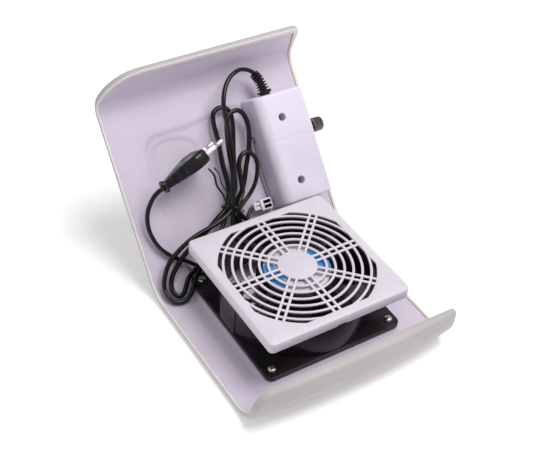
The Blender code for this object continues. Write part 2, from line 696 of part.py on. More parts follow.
def build_board(panel):
    """Circuit board with its parts standing on it."""
    top = 4.3 * MM
    board = solid("control_board", box_mesh((36 * MM, 38 * MM, 2.7 * MM), (74 * MM, 112 * MM, top)),
                  "board", panel)
    carve(board, [solid("post_hole_%d" % i, disc(5.2 * MM, 0, 8 * MM, SMALL), "board", panel,
                        (BOX_SCREW_X, d, 0)) for i, d in enumerate(BOX_SCREWS_D)])
    rest = top + GAP
    solid("film_capacitor", box_mesh((60 * MM, 46 * MM, rest), (71 * MM, 64 * MM, 15.5 * MM), 0.4 * MM),
          "yellow_film", panel)
    solid("heat_sink", box_mesh((38 * MM, 64 * MM, rest), (40 * MM, 82 * MM, 19 * MM)), "aluminium", panel)
    solid("triac", box_mesh((40.3 * MM, 68 * MM, rest), (44.8 * MM, 78 * MM, 17 * MM), 0.3 * MM),
          "black_plastic", panel)
    solid("choke", washer(3 * MM, 7.5 * MM, rest, 12 * MM, 20), "copper", panel, (66 * MM, 73 * MM, 0),
          smooth=35)
    solid("fuse", along_x(disc(2.4 * MM, -9 * MM, 9 * MM, 12)), "fuse_glass", panel,
          (61 * MM, 42 * MM, rest + 2.5 * MM), smooth=35)


def build_speed_control(panel, knob_axis):
    """Potentiometer with a mains switch behind it; its shaft and the knob turn on knob_axis."""
    wall = wall_x(KNOB_H)
    centre = (0, KNOB_D, KNOB_H)
    inside = wall - BOX_WALL - GAP
    nut_start = wall_x(KNOB_H - NUT_RADIUS) + GAP
    body = lathe(((2.7 * MM, inside - 9.5 * MM), (7.4 * MM, inside - 9.5 * MM),
                  (7.4 * MM, inside - 0.4 * MM),
                  (3.7 * MM, inside - 0.4 * MM), (3.7 * MM, nut_start + 2.6 * MM),
                  (2.7 * MM, nut_start + 2.6 * MM)), 20)
    solid("potentiometer", along_x(body), "aluminium", panel, centre, smooth=35)
    solid("mains_switch", along_x(disc(7.0 * MM, inside - 16.5 * MM, inside - 9.8 * MM, 20)),
          "black_plastic",
          panel, centre, smooth=35)
    nut = solid("pot_nut", along_x(disc(NUT_RADIUS, nut_start, nut_start + 1.6 * MM, 6)), "steel", panel,
                centre)
    bore = solid("nut_bore", along_x(disc(4.0 * MM, nut_start - 3 * MM, nut_start + 5 * MM, 20)), "steel",
                 panel, centre)
    set_smooth(carve(nut, [bore]))
    knob_low = nut_start + 3.0 * MM
    shaft = disc(SHAFT_RADIUS, inside - 9.2 * MM, KNOB_TIP - 2.4 * MM, SMALL)
    solid("pot_shaft", along_x(shaft), "steel", knob_axis, smooth=35)
    outline = ((SHAFT_RADIUS + GAP, knob_low), (KNOB_RADIUS - 0.4 * MM, knob_low),
               (KNOB_RADIUS, knob_low + 0.6 * MM),
               (KNOB_RADIUS - 0.3 * MM, KNOB_TIP - 0.8 * MM), (KNOB_RADIUS - 1.1 * MM, KNOB_TIP),
               (0, KNOB_TIP),
               (0, KNOB_TIP - 2.0 * MM), (SHAFT_RADIUS + GAP, KNOB_TIP - 2.0 * MM))
    knob = solid("speed_knob", along_x(lathe(outline, 32)), "black_plastic", knob_axis)
    groove = solid("pointer", box_mesh((KNOB_TIP - 0.6 * MM, -0.5 * MM, 1 * MM),
                                       (KNOB_TIP + 1 * MM, 0.5 * MM, KNOB_RADIUS + 1 * MM)),
                                       "black_plastic",
                   knob_axis)
    set_smooth(carve(knob, [groove]))


# ---------------------------------------------------------------- cord, plug and wires

def in_panel(points):
    """Places points given as millimetres x, d, h on the rear panel."""
    return [Vector((x, d, h)) * MM for x, d, h in points]


def from_floor(points):
    """The same for points given as millimetres x, y, z from the fan's axis and the outer floor."""
    back = Matrix.Rotation(-FOLD_ANGLE, 3, "X")
    corner = Vector((0, panel_corner(), SHELL_THICKNESS))
    return [back @ (Vector((x, y, z)) * MM - corner) for x, y, z in points]


def cord_points():
    """The mains cord, from inside the box, through the tied hank, to the plug."""
    leave_box = in_panel([
        (48, 117, 14), (48, 128, 14), (46.5, 138, 14), (42, 146, 15), (32, 150, 17), (21, 147, 19),
        (12, 139, 21), (6, 127, 22), (4, 114, 22.5), (2, 99, 22), (1, 85, 21), (-5, 66, 19)])
    outer_loop = in_panel([
        (-11, 47.5, 16.5), (-27, 40, 17), (-44, 36.5, 15), (-59, 31.5, 13.5), (-73, 23, 11.5),
        (-80, 13, 9)])
    outer_loop += from_floor([
        (-82.5, 58, 13), (-82.5, 52, 9.8), (-80, 45.5, 8), (-73, 43, 8), (-66, 45, 11), (-61, 49, 17),
        (-55, 54, 20.5), (-42, 62, 27)])
    outer_loop += in_panel([(-28, 28, 11.5), (-20, 36, 9), (-15, 42, 8)])
    left_loop = in_panel([
        (-11, 47.5, 7.5), (0, 58, 6), (5, 71, 5), (11, 90, 4), (16, 106, 4), (18, 118, 4.5), (15, 124, 5),
        (9, 126, 5), (3, 123, 5), (0.5, 115, 5), (-0.5, 101, 5.5), (-4, 81, 8), (-6, 64, 10)])
    inner_loop = in_panel([
        (-13, 49.5, 12), (-22, 44, 12), (-43, 32, 10.5), (-56, 26, 9.5), (-67, 18, 8.5), (-74, 10, 7)])
    inner_loop += from_floor([
        (-77, 55, 11), (-74, 49.5, 8.2), (-69, 50, 10), (-63.5, 55, 16), (-56, 60, 17.5)])
    inner_loop += in_panel([(-42, 15, 8.5), (-26, 18, 9), (-15, 29, 11.5)])
    tall_loop = in_panel([
        (-9, 46, 12), (-4, 57, 11), (1, 68, 10), (4, 91, 10), (8, 109, 10.5), (13, 118, 10.5),
        (21, 120, 10.5),
        (26, 115, 10.5), (27, 105, 10), (23, 91, 10), (15, 75, 9.5), (6, 58, 8.5)])
    back_loop = in_panel([
        (-7, 44.5, 7.5), (-6, 34, 6), (-8, 22, 5), (-4, 14, 6), (1, 20, 10), (0, 32, 14)])
    small_loop = in_panel([
        (-7, 44.5, 16.5), (2, 56, 15.5), (4, 66, 15.5), (6, 78, 16), (11, 85, 16.5), (18, 85, 16.5),
        (22, 78, 16), (21, 70, 15), (16, 60, 14), (8, 52, 12.5)])
    to_plug = in_panel([
        (-4.5, 43, 12), (-5, 33, 11), (-9, 22, 9.5), (-22, 12, 6.5), (-36, 10.5, 4.5), (-47, 11, 3.5),
        (-56, 18, 2.8), (-66, 25, 3), (-75, 36, 3.5), (-79, 51, 5), (-77, 65, 9), (-70, 75, 14),
        (-63, 78.7, 16), (-54, 82.2, 16)])
    return leave_box + outer_loop + left_loop + inner_loop + tall_loop + back_loop + small_loop + to_plug


def build_cord(panel):
    path = smooth_path(cord_points(), 2)
    solid("power_cord", tube(path, CORD_RADIUS, 6), "rubber", panel, smooth=60)
    build_strain_relief(panel)
    build_twist_tie(panel)


def build_strain_relief(panel):
    """Ribbed sleeve round the cord, held in the box's rear wall."""
    bore = CORD_RADIUS + 0.6 * MM
    path = smooth_path(in_panel([(48, 122, 14), (48, 128, 14), (46.5, 138, 14), (43.3, 144, 14.7)]), 7)
    radii = []
    for index, point in enumerate(path):
        share = index / (len(path) - 1)
        if point.y < BOX_REAR + 0.6 * MM:
            radii.append(4.3 * MM)
        elif point.y < BOX_REAR + 2.6 * MM:
            radii.append(6.2 * MM)
        else:
            radii.append((5.2 - 1.2 * share if index % 2 else 4.3 - 0.6 * share) * MM)
    solid("strain_relief", tube(path, radii, 8, bore), "rubber", panel, smooth=30)


def build_twist_tie(panel):
    """Coated wire wound round the hank, its two tails twisted and left standing."""
    centre = Vector((-9, 46, 12)) * MM
    along = Vector((-0.59, -0.81, 0)).normalized()
    across = Vector((-along.y, along.x, 0))
    lift = Vector((0, 0, 1))
    turns = []
    for step in range(15):
        angle = math.radians(110 - 24 * step)
        turns.append(centre + (across * math.cos(angle) + lift * math.sin(angle)) * 9.0 * MM
                     + along * (step - 7) * 0.1 * MM)
    first_tail = in_panel([(-22, 83, 20), (-19, 76, 20), (-19.5, 68, 20), (-17, 60, 20.5), (-16.5, 54, 21)])
    second_tail = in_panel([(-12.5, 53, 23.5), (-13.5, 60, 22), (-16, 68, 22), (-15.5, 76, 21.5),
                            (-17.5, 82, 21)])
    path = smooth_path(first_tail + turns + second_tail, 1)
    solid("twist_tie", tube(path, 0.8 * MM, 6), "rubber", panel, smooth=60)


def build_plug(panel):
    """Flat two-pin plug standing on its narrow edge, built along its own +X."""
    tail = Vector((-61, 79.5, 16)) * MM
    turn = math.radians(21)
    place = dict(parent=panel, location=tail, rotation=(0, 0, turn))
    sections = ((0.0, 5.2, 5.2), (1.8, 5.2, 5.2), (1.9, 3.4, 3.6), (12.0, 4.6, 6.6), (20.0, 5.3, 9.8),
                (31.0, 6.0, 13.4), (36.0, 5.9, 13.0), (41.0, 5.1, 11.6))
    bm = bmesh.new()
    rings = []
    for x, half_thick, half_wide in sections:
        chamfer = 0.45 * half_thick
        corners = ((half_thick, half_wide - chamfer), (half_thick - chamfer, half_wide),
                   (chamfer - half_thick, half_wide), (-half_thick, half_wide - chamfer),
                   (-half_thick, chamfer - half_wide), (chamfer - half_thick, -half_wide),
                   (half_thick - chamfer, -half_wide), (half_thick, chamfer - half_wide))
        rings.append([bm.verts.new((x * MM, y * MM, z * MM)) for y, z in corners])
    bm.faces.new(reversed(rings[0]))
    bm.faces.new(rings[-1])
    for ring, following in zip(rings, rings[1:]):
        for k in range(8):
            n = (k + 1) % 8
            bm.faces.new((ring[k], ring[n], following[n], following[k]))
    body = solid("plug_body", bm, "rubber", **place)
    cord_hole = solid("cord_hole", along_x(disc(2.8 * MM, -5 * MM, 8.5 * MM, 12)), "rubber", **place)
    socket_holes = []
    pin_length, pin_start = 19 * MM, 41 * MM
    for index, side in enumerate((-1, 1)):
        seat = tail + Matrix.Rotation(turn, 3, "Z") @ Vector((pin_start, 0, side * 9.1 * MM))
        socket_holes.append(solid("pin_hole_%d" % index, along_x(disc(2.3 * MM, -8 * MM, 4 * MM, 12)),
                                  "rubber",
                                  panel, seat, (0, 0, turn)))
        pin = lathe(((0, -7 * MM), (1.3 * MM, -7 * MM), (1.3 * MM, 10.3 * MM), (2.0 * MM, 10.3 * MM),
                     (2.0 * MM, pin_length - 1.2 * MM), (1.2 * MM, pin_length), (0, pin_length)), 12)
        solid("plug_pin_%d" % (index + 1), along_x(pin), "steel", panel, seat, (0, 0, turn), smooth=35)
        sleeve = washer(1.6 * MM, 2.0 * MM, -6.5 * MM, 10.0 * MM, 12)
        solid("pin_sleeve_%d" % (index + 1), along_x(sleeve), "white_plastic", panel, seat, (0, 0, turn),
              smooth=35)
    carve(body, [cord_hole] + socket_holes)


def build_wiring(panel):
    """Lead of the fan, its two-pole connector, and the thin wire that comes out of the box."""
    socket = solid("connector_socket", box_mesh((17.5 * MM, 36 * MM, 1.5 * MM), (28 * MM, 45 * MM, 9 * MM)),
                   "white_plastic", panel)
    windows = [solid("window_%d" % i, box_mesh((20.2 * MM, (37.2 + 3.9 * i) * MM, 3.5 * MM),
                                               (27 * MM, (40 + 3.9 * i) * MM, 12 * MM)), "white_plastic",
                                               panel)
               for i in range(2)]
    carve(socket, windows)
    solid("connector_plug", box_mesh((11.6 * MM, 37.6 * MM, 2 * MM), (17.2 * MM, 43.6 * MM, 8 * MM),
                                     0.4 * MM),
          "white_plastic", panel)
    feed = smooth_path(in_panel([(38, 94, 1.5), (31.5, 92.5, 1.4), (29.4, 88, 1.2), (29.6, 70, 1.2),
                                 (30.2, 50, 1.3),
                                 (31, 40, 1.6), (27.5, 34, 2.6), (24, 33, 4), (24, 35.6, 5)]), 3)
    solid("fan_feed_wire", tube(feed, 0.8 * MM, 6), "grey_wire", panel, smooth=60)
    lead = smooth_path(in_panel([(10.8, 40.5, 5), (8.6, 39.5, 5.2), (5.2, 36, 5.8), (3.2, 31, 6.6),
                                 (4.5, 25.5, 7.8),
                                 (9.5, 19.5, 10), (13.2, 16, 12.6), (14, 14.5, 13.8)]), 3)
    solid("fan_lead", tube(lead, 1.4 * MM, 8), "rubber", panel, smooth=60)


# ---------------------------------------------------------------- assembly

def panel_corner():
    """y of the line where the inner floor and the rear panel would meet without the fold."""
    return profile_point(FOLD_START, 0)[0] + FOLD_RADIUS * math.tan(FOLD_ANGLE / 2)


def middle_of_box():
    """Middle, in plan, of the box round the sheet and the knob, measured from the fan's axis."""
    outside = [profile_point(s, SHELL_THICKNESS + pad(0.0, s))[0] for s in stations(0.0)]
    return (KNOB_TIP - HALF_WIDTH) / 2, (min(outside) + max(outside)) / 2


def main():
    clear_scene()
    x, y = middle_of_box()
    root = empty("collector", None, (-x, -y, 0))
    panel = empty("rear_panel", root, (0, panel_corner(), SHELL_THICKNESS), FOLD_ANGLE)
    fan_axis = empty("fan_axis", root)
    grille_lift = empty("grille_lift", root)
    knob_axis = empty("knob_axis", panel, (0, KNOB_D, KNOB_H))
    bpy.context.view_layer.update()
    build_leather(root)
    build_lip_pad(root)
    cut_panel(build_liner(root), panel)
    build_intake_guard(root)
    build_fan_housing(root)
    build_motor(root)
    build_rotor(fan_axis)
    build_fan_screws(root)
    build_grille(grille_lift)
    build_box_cover(panel)
    build_box_screws(panel)
    build_board(panel)
    build_speed_control(panel, knob_axis)
    build_cord(panel)
    build_plug(panel)
    build_wiring(panel)


main()
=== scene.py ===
"""Looks of the nail dust collector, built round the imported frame.

Pieces are made in the fan's own axes, in metres: the origin is where the fan's axis meets the table,
+Y runs towards the rear panel and +Z is up. What stands on the rear panel is made in that panel's
axes: x across, d up the slope, h off the panel. Both are then moved into the frame.
"""
import math

import bmesh
import bpy
from mathutils import Matrix, Vector, noise


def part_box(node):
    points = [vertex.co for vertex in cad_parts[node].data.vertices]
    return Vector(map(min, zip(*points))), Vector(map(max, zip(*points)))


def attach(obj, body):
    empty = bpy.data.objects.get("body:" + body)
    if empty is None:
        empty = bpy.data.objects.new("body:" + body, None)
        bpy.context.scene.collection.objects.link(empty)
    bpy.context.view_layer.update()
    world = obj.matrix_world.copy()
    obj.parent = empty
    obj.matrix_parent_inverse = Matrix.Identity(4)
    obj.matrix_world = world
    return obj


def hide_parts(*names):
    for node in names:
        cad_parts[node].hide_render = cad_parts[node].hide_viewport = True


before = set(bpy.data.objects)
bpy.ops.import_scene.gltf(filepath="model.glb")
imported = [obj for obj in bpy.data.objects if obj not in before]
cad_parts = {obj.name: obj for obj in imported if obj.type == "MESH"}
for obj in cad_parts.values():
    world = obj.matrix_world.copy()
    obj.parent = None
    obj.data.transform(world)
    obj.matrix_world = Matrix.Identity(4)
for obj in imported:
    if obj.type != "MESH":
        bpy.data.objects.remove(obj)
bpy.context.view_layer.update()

MM = 0.001

# Bent sheet, as in the frame
HALF_WIDTH = 89.0 * MM
SHELL = 5.0 * MM
LINER = 2.7 * MM
LIP_STRAIGHT = 9.1 * MM
LIP_RADIUS = 22.3 * MM
LIP_CENTRE_Y = -60.6 * MM
FLOOR_LENGTH = 109.6 * MM
FOLD_RADIUS = 25.0 * MM
FOLD_ANGLE = math.radians(49.3)
REAR_LENGTH = 132.7 * MM
CURL_RADIUS = 14.5 * MM
CURL_ANGLE = math.radians(60.3)
CURL_STRAIGHT = 25.4 * MM
LIP_CORNERS = (16.0 * MM, 3.0 * MM)    # left and right
CURL_CORNERS = (34.0 * MM, 6.0 * MM)
PAD = 6.0 * MM
PAD_TOP_SHARE = 0.45
HEM = 0.95 * MM                        # how far the turned leather stands off the liner
RIM_DEPTH = 0.9 * MM                   # where the sheet's rim reaches furthest out
RIM_GAP = 1.45 * MM                    # leather beside the liner's rim
LINER_INSET = 1.6 * MM

LIP_LENGTH = LIP_STRAIGHT + LIP_RADIUS * math.pi / 2
FOLD_START = LIP_LENGTH + FLOOR_LENGTH
REAR_START = FOLD_START + FOLD_RADIUS * FOLD_ANGLE
CURL_START = REAR_START + REAR_LENGTH
SHEET_LENGTH = CURL_START + CURL_RADIUS * CURL_ANGLE + CURL_STRAIGHT
STRETCHES = ((LIP_STRAIGHT, 0.0), (LIP_RADIUS * math.pi / 2, math.pi / 2), (FLOOR_LENGTH, 0.0),
             (FOLD_RADIUS * FOLD_ANGLE, FOLD_ANGLE), (REAR_LENGTH, 0.0),
             (CURL_RADIUS * CURL_ANGLE, CURL_ANGLE), (CURL_STRAIGHT, 0.0))

# Fan and grille
FAN_HALF = 60.0 * MM
FAN_LOW = 9.0 * MM
FAN_HIGH = 47.0 * MM
FLANGE = 4.2 * MM
BORE = 57.0 * MM
BARREL = 59.4 * MM
SCREW_OUT = 52.5 * MM
HUB = 31.0 * MM
BLADE_TIP = 55.5 * MM
INTAKE = 54.0 * MM
GUARD = 57.6 * MM
GRILLE_HALF = 61.3 * MM
GRILLE_TOP = 51.0 * MM
SKIRT_LOW = GRILLE_TOP - 8.75 * MM
PLATE_LOW = GRILLE_TOP - 2.0 * MM
OPENING = 60.3 * MM
OPENING_FLAT = 54.0 * MM

# Control box
BOX_LEFT, BOX_RIGHT = 31.7 * MM, 78.7 * MM
BOX_FRONT, BOX_REAR = 33.0 * MM, 126.0 * MM
BOX_HEIGHT = 24.0 * MM
BOX_DRAFT = 1.6 * MM
BOX_SCREWS = ((52 * MM, 51 * MM), (52 * MM, 104 * MM))
KNOB_D, KNOB_H = 89.8 * MM, 12.0 * MM
KNOB_TIP = 91.2 * MM
CORD_X, CORD_H = 48.0 * MM, 14.0 * MM  # where the cord leaves the box

# Plug
PLUG_LENGTH = 41.0                     # grip without its pins, in millimetres
PIN_OUT = 9.1 * MM                     # from the middle line to a pin

# Camera: front left of the object and above it, placed from the fan's origin
CAMERA_PLACE = (-361.35 * MM, -474.45 * MM, 613.4 * MM)
CAMERA_AZIMUTH = math.radians(-35.41)
CAMERA_ELEVATION = math.radians(41.37)
CAMERA_ROLL = math.radians(5.108)
CAMERA_LENS = 71.04

ROUND = 128


# ---------------------------------------------------------------- frame

def fan_origin():
    low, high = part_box("fan_housing")
    return Vector(((low.x + high.x) / 2, (low.y + high.y) / 2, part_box("leather_cover")[0].z))


def panel_corner():
    return profile_point(FOLD_START, 0)[0] + FOLD_RADIUS * math.tan(FOLD_ANGLE / 2)


def profile_point(s, outward):
    """(y, z) at arc length s along the inner face, moved off it by outward."""
    y = LIP_CENTRE_Y - LIP_RADIUS
    z = SHELL + LIP_RADIUS + LIP_STRAIGHT
    heading = -math.pi / 2
    for index, (length, turn) in enumerate(STRETCHES):
        part = s if index == len(STRETCHES) - 1 else min(s, length)
        if turn:
            radius = length / turn
            after = heading + part / radius
            y += radius * (math.sin(after) - math.sin(heading))
            z += radius * (math.cos(heading) - math.cos(after))
            heading = after
        else:
            y += part * math.cos(heading)
            z += part * math.sin(heading)
        s -= part
        if s <= 0:
            break
    return y + outward * math.sin(heading), z - outward * math.cos(heading)


FAN = Matrix.Translation(fan_origin())
PANEL = FAN @ Matrix.Translation((0, panel_corner(), SHELL)) @ Matrix.Rotation(FOLD_ANGLE, 4, "X")


# ---------------------------------------------------------------- shader helpers

def node(tree, kind, settings=None, **inputs):
    """Adds a node. settings are its properties; inputs are sockets to link or values to set."""
    made = tree.nodes.new("ShaderNode" + kind)
    for key, value in (settings or {}).items():
        setattr(made, key, value)
    for key, value in inputs.items():
        key = int(key[1:]) if key[0] == "i" and key[1:].isdigit() else key.replace("_", " ")
        socket = made.inputs[key]
        if isinstance(value, bpy.types.NodeSocket):
            tree.links.new(value, socket)
        else:
            socket.default_value = value
    return made


def rgba(colour, share=1.0):
    return (*[min(1.0, c * share) for c in colour], 1.0)


def noise_value(tree, place, scale, detail=3.0, rough=0.55):
    return node(tree, "TexNoise", Vector=place, Scale=scale, Detail=detail, Roughness=rough).outputs["Fac"]


def ramp(tree, value, low, high, out_low=0.0, out_high=1.0):
    made = node(tree, "MapRange", i0=value, i1=low, i2=high, i3=out_low, i4=out_high)
    return made.outputs[0]


def mixed(tree, share, first, second):
    made = node(tree, "Mix", {"data_type": "RGBA"})
    for key, value in ((0, share), (6, first), (7, second)):
        if isinstance(value, bpy.types.NodeSocket):
            tree.links.new(value, made.inputs[key])
        else:
            made.inputs[key].default_value = value
    return made.outputs[2]


def bumped(tree, height, depth, normal=None):
    made = node(tree, "Bump", Strength=1.0, Distance=depth, Height=height)
    if normal:
        tree.links.new(normal, made.inputs["Normal"])
    return made.outputs["Normal"]


def start(name, **values):
    """A new material with its node tree, shader and object coordinates."""
    made = bpy.data.materials.new(name)
    made.use_nodes = True
    tree = made.node_tree
    shader = tree.nodes["Principled BSDF"]
    for key, value in values.items():
        shader.inputs[key.replace("_", " ")].default_value = value
    place = node(tree, "TexCoord").outputs["Object"]
    return made, tree, shader, place


def finish(tree, shader, **values):
    """Links values to the shader's sockets. A socket's name is written with _ for a space."""
    for key, value in values.items():
        tree.links.new(value, shader.inputs[key.replace("_", " ")])


def edges_of(tree, low=0.515, high=0.56):
    """1 on convex edges and 0 elsewhere, from the mesh's own shape."""
    return ramp(tree, node(tree, "NewGeometry").outputs["Pointiness"], low, high)


def plastic(name, colour, rough, grain=0.02, coat=0.0, edge_highlight=0.10, shine=0.5):
    """Moulded plastic: clouded colour, fine moulded grain, handled patches and a painted highlight on
    convex edges.
    """
    made, tree, shader, place = start(name, Coat_Weight=coat, Coat_Roughness=0.12, Specular_IOR_Level=shine)
    cloud = ramp(tree, noise_value(tree, place, 28.0), 0.3, 0.7)
    base = mixed(tree, cloud, rgba(colour, 0.95), rgba(colour, 1.03))
    speck = ramp(tree, noise_value(tree, place, 900.0, 2.0), 0.66, 0.74, 0.0, 0.22)
    base = mixed(tree, speck, base, rgba(colour, 0.72))
    # Convex edges are made lighter here: painted highlight on the edges.
    base = mixed(tree, ramp(tree, edges_of(tree), 0, 1, 0, edge_highlight), base, rgba(colour, 1.35))
    smear = noise_value(tree, place, 60.0, 5.0, 0.65)
    fine = bumped(tree, noise_value(tree, place, 2600.0, 2.0), grain * MM)
    finish(tree, shader, Base_Color=base,
           Roughness=ramp(tree, smear, 0.3, 0.7, rough - 0.07, rough + 0.09),
           Normal=bumped(tree, noise_value(tree, place, 45.0, 1.0), 0.10 * MM, fine))
    return made


def leather(name, colour, rough):
    """Synthetic leather: small rounded cells parted by creases that are darkened as painted shade, with
    soft wrinkles and a faint sheen.
    """
    made, tree, shader, place = start(name, Sheen_Weight=0.12, Sheen_Roughness=0.5, Coat_Weight=0.05,
                                      Coat_Roughness=0.35)
    warp = node(tree, "TexNoise", Vector=place, Scale=160.0, Detail=2.0).outputs["Color"]
    moved = node(tree, "VectorMath", {"operation": "MULTIPLY_ADD"}, i0=warp, i1=(0.0016,) * 3, i2=place)
    cells = node(tree, "TexVoronoi", {"feature": "DISTANCE_TO_EDGE"}, Vector=moved.outputs[0], Scale=820.0)
    crease = ramp(tree, cells.outputs["Distance"], 0.0, 0.22)
    wrinkle = noise_value(tree, place, 75.0, 4.0, 0.6)
    cloud = ramp(tree, noise_value(tree, place, 22.0), 0.3, 0.7)
    tone = mixed(tree, cloud, rgba(colour, 0.95), rgba(colour, 1.03))
    # The creases between cells are darkened here: painted shade.
    tone = mixed(tree, ramp(tree, crease, 0, 1, 0.10, 0.0), tone, rgba(colour, 0.62))
    grime = ramp(tree, noise_value(tree, place, 110.0, 6.0, 0.7), 0.60, 0.78, 0.0, 0.14)
    tone = mixed(tree, grime, tone, rgba((colour[0] * 0.80, colour[1] * 0.77, colour[2] * 0.72)))
    pores = bumped(tree, noise_value(tree, place, 3200.0, 2.0), 0.010 * MM)
    creased = bumped(tree, crease, 0.045 * MM, pores)
    finish(tree, shader, Base_Color=tone,
           Roughness=ramp(tree, wrinkle, 0.3, 0.7, rough - 0.08, rough + 0.08),
           Normal=bumped(tree, wrinkle, 0.22 * MM, creased))
    return made


def backing(name, colour):
    """Cut edge of the leather: woven backing with ragged fibres."""
    made, tree, shader, place = start(name, Roughness=0.9, Sheen_Weight=0.3)
    fibre = noise_value(tree, place, 1500.0, 4.0, 0.7)
    base = mixed(tree, ramp(tree, fibre, 0.35, 0.65), rgba(colour, 0.72), rgba(colour, 1.08))
    finish(tree, shader, Base_Color=base, Normal=bumped(tree, fibre, 0.15 * MM))
    return made


def metal(name, colour, rough, axis=2):
    """Bare or plated metal with fine drawn lines along an axis and dulled patches."""
    made, tree, shader, place = start(name, Metallic=1.0)
    scale = [900.0, 900.0, 900.0]
    scale[axis] /= 12.0
    drawn = node(tree, "VectorMath", {"operation": "MULTIPLY"}, i0=place, i1=tuple(scale)).outputs[0]
    lines = noise_value(tree, drawn, 1.0, 3.0, 0.6)
    dull = ramp(tree, noise_value(tree, place, 130.0, 4.0), 0.35, 0.7)
    finish(tree, shader, Base_Color=mixed(tree, dull, rgba(colour), rgba(colour, 0.78)),
           Roughness=ramp(tree, lines, 0.3, 0.7, rough, rough + 0.16),
           Normal=bumped(tree, lines, 0.006 * MM))
    return made


def painted_metal(name, colour):
    """Die-cast metal under semi-gloss paint: orange peel, dust, and convex edges lightened as a painted
    highlight.
    """
    made, tree, shader, place = start(name, Specular_IOR_Level=0.30)
    dust = ramp(tree, noise_value(tree, place, 320.0, 6.0, 0.75), 0.56, 0.82, 0.0, 0.10)
    base = mixed(tree, dust, rgba(colour), (0.06, 0.055, 0.06, 1))
    # Convex edges are made lighter here: painted highlight on the edges.
    painted_edge_highlight = ramp(tree, edges_of(tree, 0.53, 0.60), 0, 1, 0, 0.30)
    finish(tree, shader, Base_Color=mixed(tree, painted_edge_highlight, base, (0.07, 0.06, 0.075, 1)),
           Roughness=ramp(tree, dust, 0, 0.10, 0.22, 0.50),
           Normal=bumped(tree, noise_value(tree, place, 700.0, 2.0), 0.018 * MM))
    return made


def cord_skin(name, colour, rough):
    """Soft black cord sheath: glossy, slightly uneven, with a dusty bloom."""
    made, tree, shader, place = start(name, Coat_Weight=0.35, Coat_Roughness=0.05, Specular_IOR_Level=0.2)
    bloom = ramp(tree, noise_value(tree, place, 240.0, 5.0, 0.7), 0.54, 0.80, 0.0, 0.08)
    skin = bumped(tree, noise_value(tree, place, 2200.0, 2.0), 0.010 * MM)
    finish(tree, shader, Base_Color=mixed(tree, bloom, rgba(colour), (0.035, 0.030, 0.035, 1)),
           Roughness=ramp(tree, bloom, 0, 0.08, rough, rough + 0.18),
           Normal=bumped(tree, noise_value(tree, place, 110.0, 1.0), 0.05 * MM, skin))
    return made


def foam(name, colour):
    """Open-cell foam: pale sponge with its pores darkened as painted shade."""
    made, tree, shader, place = start(name, Roughness=0.95, Sheen_Weight=0.2)
    pores = node(tree, "TexVoronoi", {"feature": "F1"}, Vector=place, Scale=1400.0).outputs["Distance"]
    # The pores are darkened here: painted shade in the holes.
    base = mixed(tree, ramp(tree, pores, 0.1, 0.7), rgba(colour, 0.55), rgba(colour))
    finish(tree, shader, Base_Color=base, Normal=bumped(tree, pores, 0.35 * MM))
    return made


def banded(name, dark, light, pitch, rough, metallic):
    """Stacked or wound material: thin bands across Z, each a little different."""
    made, tree, shader, place = start(name, Metallic=metallic)
    wave = node(tree, "TexWave", {"bands_direction": "Z"}, Vector=place, Scale=1 / (pitch * 3.2),
                Distortion=0.6, Detail=2.0).outputs["Fac"]
    tint = noise_value(tree, place, 300.0)
    lit = mixed(tree, tint, rgba(light, 0.8), rgba(light))
    finish(tree, shader, Base_Color=mixed(tree, ramp(tree, wave, 0.2, 0.8), rgba(dark), lit),
           Roughness=ramp(tree, tint, 0.3, 0.7, rough - 0.06, rough + 0.10),
           Normal=bumped(tree, wave, 0.05 * MM))
    return made


def label(name, centre):
    """Round foil sticker on the motor: silver, with plain blue fields, thin rules and a green dot."""
    made, tree, shader, place = start(name, Coat_Weight=0.4, Coat_Roughness=0.2)
    local = node(tree, "VectorMath", {"operation": "SUBTRACT"}, i0=place, i1=tuple(centre)).outputs[0]
    axes = node(tree, "SeparateXYZ", Vector=local)
    along = node(tree, "Math", {"operation": "ABSOLUTE"}, i0=axes.outputs["X"]).outputs[0]
    aside = node(tree, "Math", {"operation": "ABSOLUTE"}, i0=axes.outputs["Y"]).outputs[0]
    field = node(tree, "Math", {"operation": "MULTIPLY"}, i0=ramp(tree, along, 14.8 * MM, 15.2 * MM),
                 i1=ramp(tree, aside, 14.4 * MM, 14.0 * MM)).outputs[0]
    rules = node(tree, "TexWave", {"bands_direction": "Y"}, Vector=local, Scale=110.0).outputs["Fac"]
    rules = ramp(tree, rules, 0.84, 0.90, 0.0, 0.45)
    base = mixed(tree, rules, (0.62, 0.64, 0.68, 1), (0.25, 0.26, 0.30, 1))
    print_cloud = ramp(tree, noise_value(tree, place, 300.0), 0.3, 0.7, 0.88, 1.0)
    inked = node(tree, "Math", {"operation": "MULTIPLY"}, i0=field, i1=print_cloud).outputs[0]
    base = mixed(tree, inked, base, (0.02, 0.24, 0.58, 1))
    spot = node(tree, "VectorMath", {"operation": "DISTANCE"}, i0=local,
                i1=(4 * MM, -21 * MM, 0)).outputs["Value"]
    finish(tree, shader,
           Base_Color=mixed(tree, ramp(tree, spot, 2.2 * MM, 2.0 * MM), base, (0.02, 0.17, 0.05, 1)),
           Roughness=ramp(tree, noise_value(tree, place, 500.0), 0.3, 0.7, 0.25, 0.42),
           Normal=bumped(tree, noise_value(tree, place, 400.0), 0.02 * MM))
    return made


def board(name):
    """Resin-paper circuit board: fibre grain under a lacquer, with darker tracks."""
    made, tree, shader, place = start(name, Coat_Weight=0.3, Roughness=0.45)
    fibre = noise_value(tree, place, 1200.0, 4.0, 0.7)
    tracks = node(tree, "TexBrick", Vector=place, Scale=140.0, Mortar_Size=0.03).outputs["Fac"]
    base = mixed(tree, fibre, (0.36, 0.24, 0.09, 1), (0.56, 0.41, 0.19, 1))
    finish(tree, shader, Base_Color=mixed(tree, tracks, base, (0.30, 0.16, 0.05, 1)),
           Normal=bumped(tree, fibre, 0.02 * MM))
    return made


